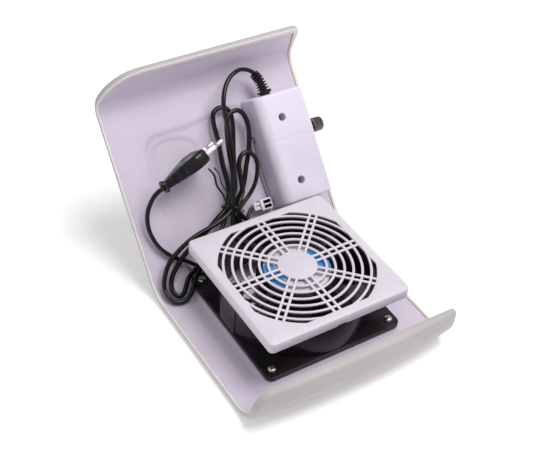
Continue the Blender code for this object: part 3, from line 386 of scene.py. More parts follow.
def clear_glass(name):
    """Thin clear tube with a faint haze."""
    made, tree, shader, place = start(name, Transmission_Weight=0.9, IOR=1.45)
    haze = noise_value(tree, place, 700.0, 3.0)
    finish(tree, shader, Base_Color=mixed(tree, haze, (0.86, 0.90, 0.90, 1), (0.95, 0.97, 0.97, 1)),
           Roughness=ramp(tree, haze, 0.3, 0.7, 0.02, 0.12))
    return made


def make_materials():
    return {
        # The outer leather is darkened as painted shade, and the turned edge is a lighter copy of the same
        # leather as painted light.
        "leather": leather("leather_white_shaded_copy", (0.465, 0.43, 0.435), 0.52),
        "leather_hem_lit_copy": leather("leather_turned_edge_lit_copy", (0.76, 0.71, 0.68), 0.55),
        "backing": backing("leather_backing", (0.50, 0.37, 0.26)),
        "liner": plastic("liner_plastic", (0.605, 0.535, 0.645), 0.44, 0.016, edge_highlight=0.12),
        "grille": plastic("grille_plastic", (0.63, 0.585, 0.65), 0.40, 0.014, edge_highlight=0.25),
        "box": plastic("box_plastic", (0.68, 0.63, 0.735), 0.46, 0.030, edge_highlight=0.18),
        "guard": plastic("guard_plastic", (0.68, 0.64, 0.70), 0.42, 0.014, edge_highlight=0.25),
        "connector": plastic("connector_plastic", (0.72, 0.67, 0.74), 0.40, 0.012, edge_highlight=0.20),
        "sleeve": plastic("sleeve_plastic", (0.78, 0.74, 0.80), 0.35, 0.008, edge_highlight=0.15),
        "impeller": plastic("impeller_plastic", (0.007, 0.005, 0.007), 0.32, 0.014, edge_highlight=0.02, shine=0.2),
        "knob": plastic("knob_plastic", (0.022, 0.021, 0.022), 0.16, 0.004, coat=1.0, edge_highlight=0.02, shine=0.6),
        "moulded_black": plastic("component_black", (0.014, 0.013, 0.015), 0.45, 0.015, edge_highlight=0.03),
        "plug": cord_skin("plug_rubber", (0.006, 0.005, 0.007), 0.34),
        "cord": cord_skin("cord_rubber", (0.004, 0.003, 0.004), 0.28),
        "grey_wire": plastic("wire_grey", (0.40, 0.37, 0.42), 0.42, 0.010, edge_highlight=0.05),
        "fan": painted_metal("fan_paint", (0.014, 0.010, 0.013)),
        "nickel": metal("nickel_plate", (0.72, 0.69, 0.65), 0.20),
        "shaft": metal("ground_steel", (0.58, 0.57, 0.56), 0.24, axis=0),
        "aluminium": metal("aluminium_sheet", (0.66, 0.67, 0.68), 0.32),
        "laminations": banded("steel_laminations", (0.07, 0.07, 0.075), (0.34, 0.34, 0.35), 0.5 * MM, 0.5,
                              1.0),
        "copper": banded("copper_winding", (0.16, 0.045, 0.015), (0.62, 0.26, 0.10), 0.4 * MM, 0.34, 0.9),
        "film": plastic("capacitor_film", (0.70, 0.47, 0.06), 0.34, 0.010, coat=0.3, edge_highlight=0.05),
        "foam": foam("pad_foam", (0.74, 0.71, 0.58)),
        "board": board("circuit_board"),
        "glass": clear_glass("fuse_tube"),
        "label": label("motor_label", FAN.translation),
    }


MATERIALS = make_materials()


# ---------------------------------------------------------------- mesh helpers

def joined(*parts):
    """One bmesh holding all the parts."""
    whole = bmesh.new()
    for part in parts:
        mesh = bpy.data.meshes.new("part")
        part.to_mesh(mesh)
        part.free()
        whole.from_mesh(mesh)
        bpy.data.meshes.remove(mesh)
    return whole


def turned(bm, matrix):
    bmesh.ops.transform(bm, matrix=matrix, verts=bm.verts)
    return bm


def at(axes, x, y, z=0.0):
    """The axes moved to a place given in them."""
    return axes @ Matrix.Translation((x, y, z))


def band(bm, ring, following):
    """Faces between two closed loops with equally many corners."""
    faces = []
    for k in range(len(ring)):
        n = (k + 1) % len(ring)
        faces.append(bm.faces.new((ring[k], ring[n], following[n], following[k])))
    return faces


def grid_faces(bm, grid):
    for row, following in zip(grid, grid[1:]):
        for c in range(len(row) - 1):
            bm.faces.new((row[c], row[c + 1], following[c + 1], following[c]))


def border_of(rows, columns):
    """(row, column) of the corners round a grid's border, once round."""
    border = [(0, c) for c in range(columns)] + [(r, columns - 1) for r in range(1, rows)]
    border += [(rows - 1, c) for c in range(columns - 2, -1, -1)]
    return border + [(r, 0) for r in range(rows - 2, 0, -1)]


def two_sided(point, rows, columns):
    """Closed sheet between two grids. point(side, row, column) gives their corners, side 0 or 1."""
    bm = bmesh.new()
    border = border_of(rows, columns)
    loops = []
    for side in range(2):
        grid = [[bm.verts.new(point(side, r, c)) for c in range(columns)] for r in range(rows)]
        grid_faces(bm, grid)
        loops.append([grid[r][c] for r, c in border])
    band(bm, *loops)
    return bm


def along_x(bm):
    return turned(bm, Matrix.Rotation(math.radians(90), 4, "Y"))


def lathe(profile, facets=ROUND, wobble=None):
    """Turns a closed (radius, z) outline about Z. wobble(radius, angle, z) may reshape the radius."""
    bm = bmesh.new()
    rings = []
    for radius, z in profile:
        if radius == 0:
            rings.append([bm.verts.new((0, 0, z))])
            continue
        ring = []
        for k in range(facets):
            angle = math.tau * k / facets
            r = wobble(radius, angle, z) if wobble else radius
            ring.append(bm.verts.new((r * math.cos(angle), r * math.sin(angle), z)))
        rings.append(ring)
    for ring, following in zip(rings, rings[1:] + rings[:1]):
        if len(ring) == 1 and len(following) == 1:
            continue
        for k in range(facets):
            n = (k + 1) % facets
            corners = [ring[k % len(ring)], ring[n % len(ring)],
                       following[n % len(following)], following[k % len(following)]]
            bm.faces.new(list(dict.fromkeys(corners)))
    return bm


def soft_ring(inner, outer, low, high, soft, facets=ROUND):
    """Flat ring with its four edges rounded off by soft."""
    corners = ((inner + soft, low, 180), (outer - soft, low, 270), (outer - soft, high, 0),
               (inner + soft, high, 90))
    profile = []
    for radius, z, begin in corners:
        centre_z = low + soft if z == low else high - soft
        for step in range(4):
            angle = math.radians(begin + 30 * step)
            profile.append((radius + soft * math.cos(angle), centre_z + soft * math.sin(angle)))
    return lathe(profile, facets)


def soft_disc(radius, low, high, soft, facets=ROUND):
    profile = [(0, low), (radius - soft, low)]
    profile += [(radius - soft + soft * math.sin(a), low + soft - soft * math.cos(a))
                for a in (math.radians(30 * k) for k in range(1, 4))]
    profile += [(radius - soft + soft * math.cos(a), high - soft + soft * math.sin(a))
                for a in (math.radians(30 * k) for k in range(4))]
    return lathe(profile + [(0, high)], facets)


def plain_disc(radius, low, high, facets=64):
    return lathe(((0, low), (radius, low), (radius, high), (0, high)), facets)


def soft_box(low, high, soft=0.0, segments=3, top_inset=0.0):
    """A box between two corners with rounded edges, its top drawn in by top_inset."""
    bm = bmesh.new()
    rings = []
    for z, inset in ((low[2], 0.0), (high[2], top_inset)):
        corners = ((low[0] + inset, low[1] + inset), (high[0] - inset, low[1] + inset),
                   (high[0] - inset, high[1] - inset), (low[0] + inset, high[1] - inset))
        rings.append([bm.verts.new((x, y, z)) for x, y in corners])
    bm.faces.new(reversed(rings[0]))
    bm.faces.new(rings[1])
    band(bm, *rings)
    if soft:
        bmesh.ops.bevel(bm, geom=bm.edges[:], offset=soft, segments=segments, affect="EDGES", profile=0.5)
    return bm


def square_radius(angle, half, corner):
    """Distance from the centre to the outline of a square with rounded corners."""
    across, up = abs(math.cos(angle)), abs(math.sin(angle))
    if across < up:
        across, up = up, across
    centre = half - corner
    if half * up / across <= centre:
        return half / across
    reach = centre * (across + up)
    return reach + math.sqrt(max(0.0, reach ** 2 - 2 * centre ** 2 + corner ** 2))


def square_angles(half, corner):
    """Angles that follow both a circle and the rounded corners of a square."""
    first = math.atan((half - corner) / half)
    eighth = [first * k / 14 for k in range(14)]
    eighth += [first + (math.pi / 4 - first) * k / 7 for k in range(8)]
    quarter = eighth + [math.pi / 2 - a for a in reversed(eighth[1:-1])]
    return [a + math.pi / 2 * k for k in range(4) for a in quarter]


def square_sweep(angles, section):
    """Closed skin through section(angle), a loop of (radius, z), for each angle."""
    bm = bmesh.new()
    loops = [[bm.verts.new((r * math.cos(angle), r * math.sin(angle), z)) for r, z in section(angle)]
             for angle in angles]
    for loop, following in zip(loops, loops[1:] + loops[:1]):
        band(bm, loop, following)
    return bm


def smooth_path(points, steps):
    path = [Vector(p) for p in points]
    ends = [2 * path[0] - path[1]] + path + [2 * path[-1] - path[-2]]
    samples = []
    for a, b, c, d in zip(ends, ends[1:], ends[2:], ends[3:]):
        for step in range(steps):
            t = step / steps
            samples.append(0.5 * (2 * b + (c - a) * t + (2 * a - 5 * b + 4 * c - d) * t ** 2
                                  + (3 * b - a - 3 * c + d) * t ** 3))
    samples.append(path[-1])
    return samples


def tube(path, radius, sides, bore=None):
    """Sweeps a section along a path. radius(index, angle) gives its outline; bore hollows it."""
    bm = bmesh.new()
    across = Vector((0, 0, 1))
    outer, inner = [], []
    for i, point in enumerate(path):
        ahead = (path[min(i + 1, len(path) - 1)] - path[max(i - 1, 0)]).normalized()
        across = across - ahead * across.dot(ahead)
        if across.length < 0.001:
            across = ahead.orthogonal()
        across.normalize()
        aside = ahead.cross(across)
        ring, hole = [], []
        for k in range(sides):
            angle = math.tau * k / sides
            spoke = across * math.cos(angle) + aside * math.sin(angle)
            ring.append(bm.verts.new(point + spoke * radius(i, angle)))
            if bore:
                hole.append(bm.verts.new(point + spoke * bore))
        outer.append(ring)
        inner.append(hole)

    def skin(rings):
        for ring, following in zip(rings, rings[1:]):
            band(bm, ring, following)

    skin(outer)
    if bore:
        skin(inner)
        skin([outer[0], inner[0]])
        skin([outer[-1], inner[-1]])
    else:
        bm.faces.new(reversed(outer[0]))
        bm.faces.new(outer[-1])
    return bm


def centreline(name, begin, ring_size):
    """Middles of the rings of a swept CAD node, in order, starting with the ring nearest to begin."""
    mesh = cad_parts[name].data
    keys = [tuple(round(c, 6) for c in v.co) for v in mesh.vertices]
    near = {key: set() for key in keys}
    for edge in mesh.edges:
        a, b = (keys[i] for i in edge.vertices)
        near[a].add(b)
        near[b].add(a)
    ring = sorted(near, key=lambda key: (Vector(key) - begin).length)[:ring_size]
    seen = set(ring)
    middles = []
    while ring:
        middles.append(sum((Vector(key) for key in ring), Vector()) / len(ring))
        ring = sorted({other for key in ring for other in near[key]} - seen)
        seen.update(ring)
    return middles


def placed(name, bm, place=None):
    """An object made of a bmesh, its faces turned outwards."""
    if place:
        turned(bm, place)
    bmesh.ops.recalc_face_normals(bm, faces=bm.faces)
    mesh = bpy.data.meshes.new(name)
    bm.to_mesh(mesh)
    bm.free()
    piece = bpy.data.objects.new(name, mesh)
    bpy.context.scene.collection.objects.link(piece)
    return piece


def make(name, bm, material_key, body="housing", place=None, replaces=(), sharp=40, extra=()):
    """Turns a bmesh into a finished piece that rides on a body and stands for CAD nodes."""
    piece = placed(name, bm, place)
    for key in (material_key, *extra):
        piece.data.materials.append(MATERIALS[key])
    shade(piece, sharp)
    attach(piece, body)
    if replaces:
        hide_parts(*replaces)
    return piece


def shade(piece, sharp):
    piece.data.shade_smooth()
    piece.data.set_sharp_from_angle(angle=math.radians(sharp))


def tool(bm, place=None):
    """A throwaway object for cutting."""
    return placed("tool", bm, place)


def carve(piece, tools, operation="DIFFERENCE", sharp=40):
    for cutter in tools:
        cut = piece.modifiers.new("cut", "BOOLEAN")
        cut.operation = operation
        cut.solver = "EXACT"
        cut.object = cutter
    bpy.context.view_layer.update()
    graph = bpy.context.evaluated_depsgraph_get()
    result = bpy.data.meshes.new_from_object(piece.evaluated_get(graph))
    piece.modifiers.clear()
    piece.data = result
    for cutter in tools:
        bpy.data.objects.remove(cutter, do_unlink=True)
    shade(piece, sharp)
    return piece


def soften(piece, width):
    """Rounds a piece's sharp edges with a modifier."""
    edge = piece.modifiers.new("soft", "BEVEL")
    edge.width = width
    edge.segments = 2
    edge.limit_method = "ANGLE"
    edge.angle_limit = math.radians(35)


def step(value, low, high):
    """0 below low, 1 above high and a smooth rise between."""
    t = min(1.0, max(0.0, (value - low) / (high - low)))
    return t * t * (3 - 2 * t)


# ---------------------------------------------------------------- bent sheet: leather, pad and liner

def edge_x(s, inset, side):
    """Distance from the middle line to the sheet's edge. side is below 0 for the left edge."""
    reach = HALF_WIDTH - inset
    index = 0 if side < 0 else 1
    for corner, distance in ((LIP_CORNERS[index] - inset, s - inset),
                             (CURL_CORNERS[index] - inset, SHEET_LENGTH - inset - s)):
        if distance < corner:
            reach -= corner - math.sqrt(max(0.0, corner ** 2 - (corner - distance) ** 2))
    return reach


def pad(x, s):
    """Thickness of the foam over the lip."""
    if s >= LIP_LENGTH:
        return 0.0
    across = max(0.0, 1 - abs(x / HALF_WIDTH) ** 2.5)
    if s < LIP_STRAIGHT:
        share = PAD_TOP_SHARE + (1 - PAD_TOP_SHARE) * math.sin(s / LIP_STRAIGHT * math.pi / 2)
    else:
        share = step(math.degrees((LIP_LENGTH - s) / LIP_RADIUS), 10, 55)
    return PAD * across * share


def row_shares(flat_step, bend_step):
    """Shares of the sheet's length for the mesh's cross lines: close together in bends and corners."""
    found = []
    begin = 0.0
    for length, turn in STRETCHES:
        count = max(1, round(length / flat_step), round(math.degrees(turn) / bend_step))
        found += [begin + length * k / count for k in range(count)]
        begin += length
    for corners, end in ((LIP_CORNERS, 0.0), (CURL_CORNERS, SHEET_LENGTH)):
        for corner in corners:
            count = 14 if corner > 10 * MM else 6
            turns = [math.pi / 2 * k / count for k in range(1, count + 1)]
            found += [abs(end - corner * (1 - math.cos(turn))) for turn in turns]
    rows = [0.0]
    for s in sorted(found):
        if 0.3 * MM < s - rows[-1] and s < SHEET_LENGTH - 0.3 * MM:
            rows.append(s)
    return [s / SHEET_LENGTH for s in rows + [SHEET_LENGTH]]


def sheet_place(sigma, tau, inset):
    """(x, s) on the unrolled sheet for shares along and across it."""
    s = inset + (SHEET_LENGTH - 2 * inset) * sigma
    return edge_x(s, inset, tau) * tau, s


def wrapped(rows, columns, layers):
    """Skin whose first and last layers are full grids and whose other layers are rings round the rim.

    Each layer is a function of the shares (sigma, tau) that gives a point."""
    bm = bmesh.new()
    taus = [2 * c / (columns - 1) - 1 for c in range(columns)]
    border = border_of(len(rows), columns)
    rings = []
    for index, layer in enumerate(layers):
        if index in (0, len(layers) - 1):
            grid = [[bm.verts.new(layer(sigma, tau)) for tau in taus] for sigma in rows]
            grid_faces(bm, grid)
            rings.append([grid[r][c] for r, c in border])
        else:
            rings.append([bm.verts.new(layer(rows[r], taus[c])) for r, c in border])
    return bm, [band(bm, ring, following) for ring, following in zip(rings, rings[1:])]


def ripple(x, s, pitch, seed):
    """Smooth noise between -1 and 1 over the unrolled sheet."""
    return noise.noise(Vector((x / pitch, s / pitch, seed)))


def gather(x, s):
    """How strongly the turned edge puckers: 1 inside the sheet's rounded corners, 0 along its sides."""
    from_end = min(s, SHEET_LENGTH - s)
    from_side = HALF_WIDTH - abs(x)
    return max(0.0, 1 - math.hypot(from_end - 7 * MM, from_side - 7 * MM) / (12 * MM))


def leather_layers():
    """Layers of the cover from its outer face, round the rim, to the face against the liner."""

    def thickness(sigma, tau):
        x, s = sheet_place(sigma, tau, 2 * MM)
        return pad(x, s)

    def hem_width(tau, x, s):
        ragged = 0.55 * MM * ripple(x, s, 10 * MM, 1.0) + 0.30 * MM * ripple(x, s, 2.8 * MM, 2.0)
        at_curl = step(s, SHEET_LENGTH - 34 * MM, SHEET_LENGTH - 8 * MM)
        return (2.5 + 0.5 * tau + 1.7 * at_curl) * MM + ragged

    def edge(theta):
        def layer(sigma, tau):
            foam_here = thickness(sigma, tau)
            reach = (4.2 + 1.6 * foam_here / PAD) * MM if theta > 0 else 1.2 * MM
            inset = reach * (1 - max(0.0, math.cos(theta)) ** 0.7)
            x, s = sheet_place(sigma, tau, inset)
            outward = SHELL + foam_here - RIM_DEPTH if theta > 0 else HEM + RIM_DEPTH
            depth = RIM_DEPTH + outward * math.copysign(abs(math.sin(theta)) ** 0.8, math.sin(theta))
            if theta > 0:
                depth -= 0.12 * MM * (1 + ripple(x, s, 30 * MM, 5.0)) * min(1.0, theta)
            y, z = profile_point(s, depth)
            return x, y, z
        return layer

    def hem(reach, lift, pucker):
        def layer(sigma, tau):
            x, s = sheet_place(sigma, tau, 3 * MM)
            inset = hem_width(tau, x, s) - reach
            folds = gather(x, s) * abs(math.sin(90 * math.atan2(s - SHEET_LENGTH / 2, x)))
            x, s = sheet_place(sigma, tau, inset)
            y, z = profile_point(s, -lift - pucker * 0.3 * MM * folds)
            return x, y, z
        return layer

    def against(inset, depth, padded):
        def layer(sigma, tau):
            x, s = sheet_place(sigma, tau, inset)
            y, z = profile_point(s, depth + (thickness(sigma, tau) if padded else 0.0))
            return x, y, z
        return layer

    thetas = [math.radians(a) for a in (90, 74, 58, 42, 26, 10, -12, -36, -62, -90)]
    layers = [edge(theta) for theta in thetas]
    layers += [hem(0.45 * MM, HEM - 0.04 * MM, 1.0), hem(0.12 * MM, HEM - 0.22 * MM, 0.8),
               hem(0.0, 0.5 * MM, 0.4), hem(0.0, 0.04 * MM, 0.0)]
    layers += [against(RIM_GAP, -0.04 * MM, False), against(RIM_GAP, LINER + 0.3 * MM, True),
               against(RIM_GAP, LINER + 0.3 * MM, True)]
    return layers, len(thetas)


def build_leather():
    layers, turned_from = leather_layers()
    rows = row_shares(3.0 * MM, 4.0)
    bm, skins = wrapped(rows, 71, layers)
    # Key 0 is the leather darkened as painted shade, key 1 the turned hem in a lighter copy of it as
    # painted light, key 2 the cut edge.
    for index, faces in enumerate(skins):
        key = 0                        # smooth leather, then its turned hem and its cut edge
        if turned_from - 3 <= index < turned_from + 1:
            key = 1
        elif turned_from + 1 <= index <= turned_from + 2:
            key = 2
        for face in faces:
            face.material_index = key
    bmesh.ops.remove_doubles(bm, verts=bm.verts, dist=0.001 * MM)
    cover = make("leather_skin", bm, "leather", place=FAN, replaces=("leather_cover",), sharp=70,
                 extra=("leather_hem_lit_copy", "backing"))
    hole = tool(plain_disc(GUARD + 0.3 * MM, -5 * MM, 12 * MM, ROUND), FAN)
    return carve(cover, [hole], sharp=70)


def build_pad():
    """Foam in the lip, crowned in the middle and thinned to nothing at its rim."""
    rows, columns = 15, 41
    low, high = 7 * MM, LIP_LENGTH - LIP_RADIUS * math.radians(40)

    def point(top, r, c):
        s = low + (high - low) * r / (rows - 1)
        tau = 2 * c / (columns - 1) - 1
        x = edge_x(s, 22 * MM, tau) * tau
        crown = (1 - abs(tau) ** 6) * (1 - abs(2 * r / (rows - 1) - 1) ** 4)
        lift = 0.72 * pad(x, s) * (0.35 + 0.65 * crown) if top else 0.0
        y, z = profile_point(s, LINER + 0.35 * MM + lift)
        return x, y, z

    make("lip_foam", two_sided(point, rows, columns), "foam", place=FAN,
         replaces=("wrist_pad_foam",))


def outside_box(x, y, left, right, low, high, corner):
    """Signed distance outside a rectangle with rounded corners."""
    dx = abs(x - (left + right) / 2) - (right - left) / 2 + corner
    dy = abs(y - (low + high) / 2) - (high - low) / 2 + corner
    return math.hypot(max(dx, 0), max(dy, 0)) + min(max(dx, dy), 0) - corner


def relief(x, s):
    """Height of the liner's inner face over the plain bent sheet."""
    rise = 0.0
    if LIP_LENGTH - 5 * MM < s < FOLD_START:
        y = LIP_CENTRE_Y + s - LIP_LENGTH
        away = outside_box(x, y, -59 * MM, 59 * MM, -59 * MM, 48 * MM, 6 * MM)
        rise += 3.7 * MM * (1 - step(away, 0, 4.6 * MM))
        rise -= 0.35 * MM * step(away, 6 * MM, 8 * MM) * (1 - step(away, 9 * MM, 12 * MM))
    if s > REAR_START - 12 * MM:
        d = FOLD_RADIUS * math.tan(FOLD_ANGLE / 2) + s - REAR_START
        tall = 122 * MM + 4 * MM * step(x, -20 * MM, 12 * MM)
        away = outside_box(x, d, -63 * MM, 40 * MM, -10 * MM, tall, 17 * MM)
        rise -= 1.2 * MM * (1 - step(away, -5.0 * MM, 0))
        lower = 116 * MM - 4 * MM * step(x, -40 * MM, -14 * MM)
        away = outside_box(x, d, -57.5 * MM, -14 * MM, -10 * MM, lower, 14 * MM)
        rise -= 1.0 * MM * (1 - step(away, -4.5 * MM, 0))
        for mark_x, mark_d in ((-72 * MM, 144 * MM), (66 * MM, 137 * MM)):
            mark = abs(math.hypot(x - mark_x, d - mark_d) - 3.2 * MM)
            rise -= 0.16 * MM * (1 - step(mark, 0.1 * MM, 0.7 * MM))
        flare = d - (81 * MM - 0.75 * (-65 * MM - x) + 6 * MM * step(-x, 60 * MM, 70 * MM))
        if x < -63 * MM:
            rise -= (0.7 * MM * (1 - step(flare, -9 * MM, 0)) * step(d, 14 * MM, 40 * MM)
                     * step(-x, 63 * MM, 68 * MM))
        if d < 22 * MM:
            rib = abs(x + 55 * MM + 0.17 * (d - 10 * MM)) - 1.4 * MM
            ends = (1 - step(d, 14 * MM, 18 * MM)) * step(s, REAR_START - 10 * MM, REAR_START - 6 * MM)
            rise += 0.9 * MM * (1 - step(rib, 0, 1.0 * MM)) * ends
    return rise


def build_liner():
    def face(sigma, tau):
        x, s = sheet_place(sigma, tau, LINER_INSET)
        y, z = profile_point(s, -relief(x, s))
        return x, y, z

    def back(sigma, tau):
        x, s = sheet_place(sigma, tau, LINER_INSET)
        y, z = profile_point(s, LINER)
        return x, y, z

    bm, _ = wrapped(row_shares(1.4 * MM, 3.0), 129, [face, back])
    bmesh.ops.remove_doubles(bm, verts=bm.verts, dist=0.001 * MM)
    liner = make("liner_sheet", bm, "liner", place=FAN, replaces=("shell_liner",),
                 sharp=45)
    cuts = [tool(plain_disc(INTAKE, -1 * MM, 14 * MM, ROUND), FAN),
            tool(plain_disc(GUARD + 0.3 * MM, -2 * MM, SHELL + 1 * MM, ROUND), FAN)]
    for x, y in screw_places():
        cuts.append(tool(plain_disc(2.1 * MM, 3.6 * MM, 14 * MM, 24), at(FAN, x, y)))
    for x, d in BOX_SCREWS:
        cuts.append(tool(plain_disc(1.9 * MM, -2.2 * MM, 3 * MM, 24), at(PANEL, x, d)))
    return carve(liner, cuts, sharp=45)


# ---------------------------------------------------------------- fan

def screw_places():
    return [(sx * SCREW_OUT, sy * SCREW_OUT) for sx, sy in ((-1, -1), (1, -1), (1, 1), (-1, 1))]


def flange(low, high):
    """Square flange with rounded corners and softened edges, open to the fan's bore."""
    soft = 0.5 * MM

    def section(angle):
        full = square_radius(angle, FAN_HALF, 6 * MM)
        drawn_in = square_radius(angle, FAN_HALF - soft, 6 * MM - soft)
        halfway = square_radius(angle, FAN_HALF - 0.3 * soft, 6 * MM - 0.3 * soft)
        return ((BORE, low), (drawn_in, low), (halfway, low + 0.3 * soft), (full, low + soft),
                (full, high - soft), (halfway, high - 0.3 * soft), (drawn_in, high), (BORE, high))

    return square_sweep(square_angles(FAN_HALF, 6 * MM), section)


def build_fan():
    barrel_low, barrel_high = FAN_LOW + FLANGE - 0.2 * MM, FAN_HIGH - FLANGE + 0.2 * MM
    make("fan_barrel", soft_ring(BORE, BARREL, barrel_low, barrel_high, 0.1 * MM), "fan",
         place=FAN, replaces=("fan_housing",))
    for name, low in (("fan_flange_low", FAN_LOW), ("fan_flange_high", FAN_HIGH - FLANGE)):
        holes = [tool(plain_disc(2.2 * MM, 0, 60 * MM, 32), at(FAN, x, y)) for x, y in screw_places()]
        carve(make(name, flange(low, low + FLANGE), "fan", place=FAN, sharp=35), holes,
              sharp=35)
    side = soft_box((-59.8 * MM, -9 * MM, barrel_low), (-50 * MM, 12 * MM, barrel_high), 0.8 * MM)
    side_wall = make("fan_side_wall", side, "fan", place=FAN)
    carve(side_wall, [tool(plain_disc(BORE + 0.05 * MM, 0, 60 * MM, ROUND), FAN)])
    base = soft_disc(30 * MM, FAN_HIGH - 4.6 * MM, FAN_HIGH, 0.8 * MM)
    sleeve = soft_ring(4.3 * MM, 5.6 * MM, 20 * MM, FAN_HIGH - 4 * MM, 0.3 * MM, 48)
    parts = [base, sleeve]
    for index in range(4):
        strut = soft_box((26 * MM, -2.6 * MM, FAN_HIGH - 4.2 * MM),
                         (BORE + 1 * MM, 2.6 * MM, FAN_HIGH - 0.4 * MM), 1.1 * MM, 4)
        parts.append(turned(strut, Matrix.Rotation(math.radians(90 * index + 22), 4, "Z")))
    make("motor_mount", joined(*parts), "fan", place=FAN)
    sticker = soft_disc(26 * MM, FAN_HIGH + 0.3 * MM, FAN_HIGH + 0.6 * MM, 0.1 * MM)
    make("motor_sticker", sticker, "label", place=FAN, replaces=("fan_label",))


def blade(turn):
    """One curved blade with a rounded leading edge."""
    radial, chord = 14, 18

    def point(side, i, k):
        share = i / radial
        radius = HUB - 1.0 * MM + (BLADE_TIP - HUB + 1.0 * MM) * share
        along = k / chord - 0.5
        angle = turn + math.radians(14) * share + math.radians(52 - 10 * share) * along
        camber = 3.0 * MM * (1 - (2 * along) ** 2)
        thick = 1.6 * MM * (0.35 + 0.65 * math.sqrt(max(0.0, 1 - abs(2 * along) ** 5)))
        height = 26.5 * MM + 25 * MM * along + camber + (side - 0.5) * thick
        return radius * math.cos(angle), radius * math.sin(angle), height

    return two_sided(point, radial + 1, chord + 1)


def build_impeller():
    floor, brim, wall = 12.5 * MM, 40.5 * MM, 2 * MM
    turn_in = [(HUB - 2 * MM + 2 * MM * math.sin(math.radians(a)),
                floor + 2 * MM - 2 * MM * math.cos(math.radians(a)))
               for a in (0, 22, 45, 68, 90)]
    hub = [(0, floor)] + turn_in + [(HUB, brim), (HUB - wall, brim), (HUB - wall, floor + wall),
                                    (5 * MM, floor + wall), (5 * MM, 19.5 * MM), (2.3 * MM, 19.5 * MM),
                                    (2.3 * MM, floor + wall), (0, floor + wall)]
    parts = [lathe(hub)] + [blade(math.tau * k / 5) for k in range(5)]
    make("fan_blades", joined(*parts), "impeller", "rotor", FAN, ("impeller",), 50)


def screw_mesh(length, head_radius):
    """Pan head and a threaded shank, its origin under the head; build_screws cuts the cross recess."""
    head, shank = 2.3 * MM, 1.75 * MM
    profile = [(0, -length), (shank * 0.5, -length), (shank, 1.5 * MM - length)]
    threads = int((length - 2 * MM) / (0.7 * MM))
    for k in range(threads):
        z = 1.5 * MM - length + 0.7 * MM * (k + 0.5)
        profile += [(shank * 0.82, z), (shank, z + 0.35 * MM)]
    profile += [(shank * 0.9, -0.1 * MM), (head_radius - 0.3 * MM, 0), (head_radius, 0.3 * MM)]
    profile += [(head_radius * math.cos(a), 0.3 * MM + (head - 0.3 * MM) * math.sin(a) ** 0.8)
                for a in (math.radians(10 * k) for k in range(1, 9))]
    return lathe(profile + [(0, head)], 40)


def build_screws():
    sets = [("fan_screw", at(FAN, x, y, FAN_LOW + FLANGE + 0.3 * MM), 9 * MM, 3.2 * MM)
            for x, y in screw_places()]
    sets += [("box_screw", at(PANEL, x, d, 8.3 * MM), 9.8 * MM, 2.8 * MM) for x, d in BOX_SCREWS]
    counts = {}
    for index, (name, place, length, radius) in enumerate(sets):
        counts[name] = counts.get(name, 0) + 1
        here = place @ Matrix.Rotation(math.radians(17 + 47 * index), 4, "Z")
        node_name = "%s_%d" % (name, counts[name])
        screw = make("cross_" + node_name, screw_mesh(length, radius), "nickel", place=here,
                     replaces=(node_name,), sharp=50)
        arms = [tool(soft_box((-1.75 * MM, -0.36 * MM, 1.0 * MM), (1.75 * MM, 0.36 * MM, 4 * MM)),
                     here @ Matrix.Rotation(math.radians(90 * k), 4, "Z")) for k in range(2)]
        carve(screw, arms, sharp=35)


def build_guard():
    low, high = 0.6 * MM, 2.6 * MM
    rim = lathe(((50 * MM, low + 0.4 * MM), (50.4 * MM, low), (GUARD - 1.2 * MM, low),
                 (GUARD - 0.35 * MM, low + 0.4 * MM), (GUARD, low + 1.2 * MM), (GUARD, SHELL),
                 (51.5 * MM, SHELL), (50 * MM, high)))
    parts = [rim, soft_disc(11 * MM, low + 0.05 * MM, high - 0.05 * MM, 0.4 * MM)]
    for index in range(4):
        radius = (18 + 8 * index) * MM
        parts.append(soft_ring(radius - 1 * MM, radius + 1 * MM, low + 0.1 * MM, high - 0.1 * MM,
                               0.45 * MM))
    for index in range(6):
        bar = soft_box((9 * MM, -1.2 * MM, low + 0.2 * MM), (51 * MM, 1.2 * MM, high - 0.2 * MM), 0.4 * MM)
        parts.append(turned(bar, Matrix.Rotation(math.radians(60 * index + 15), 4, "Z")))
    make("finger_guard", joined(*parts), "guard", place=FAN, replaces=("intake_guard",))


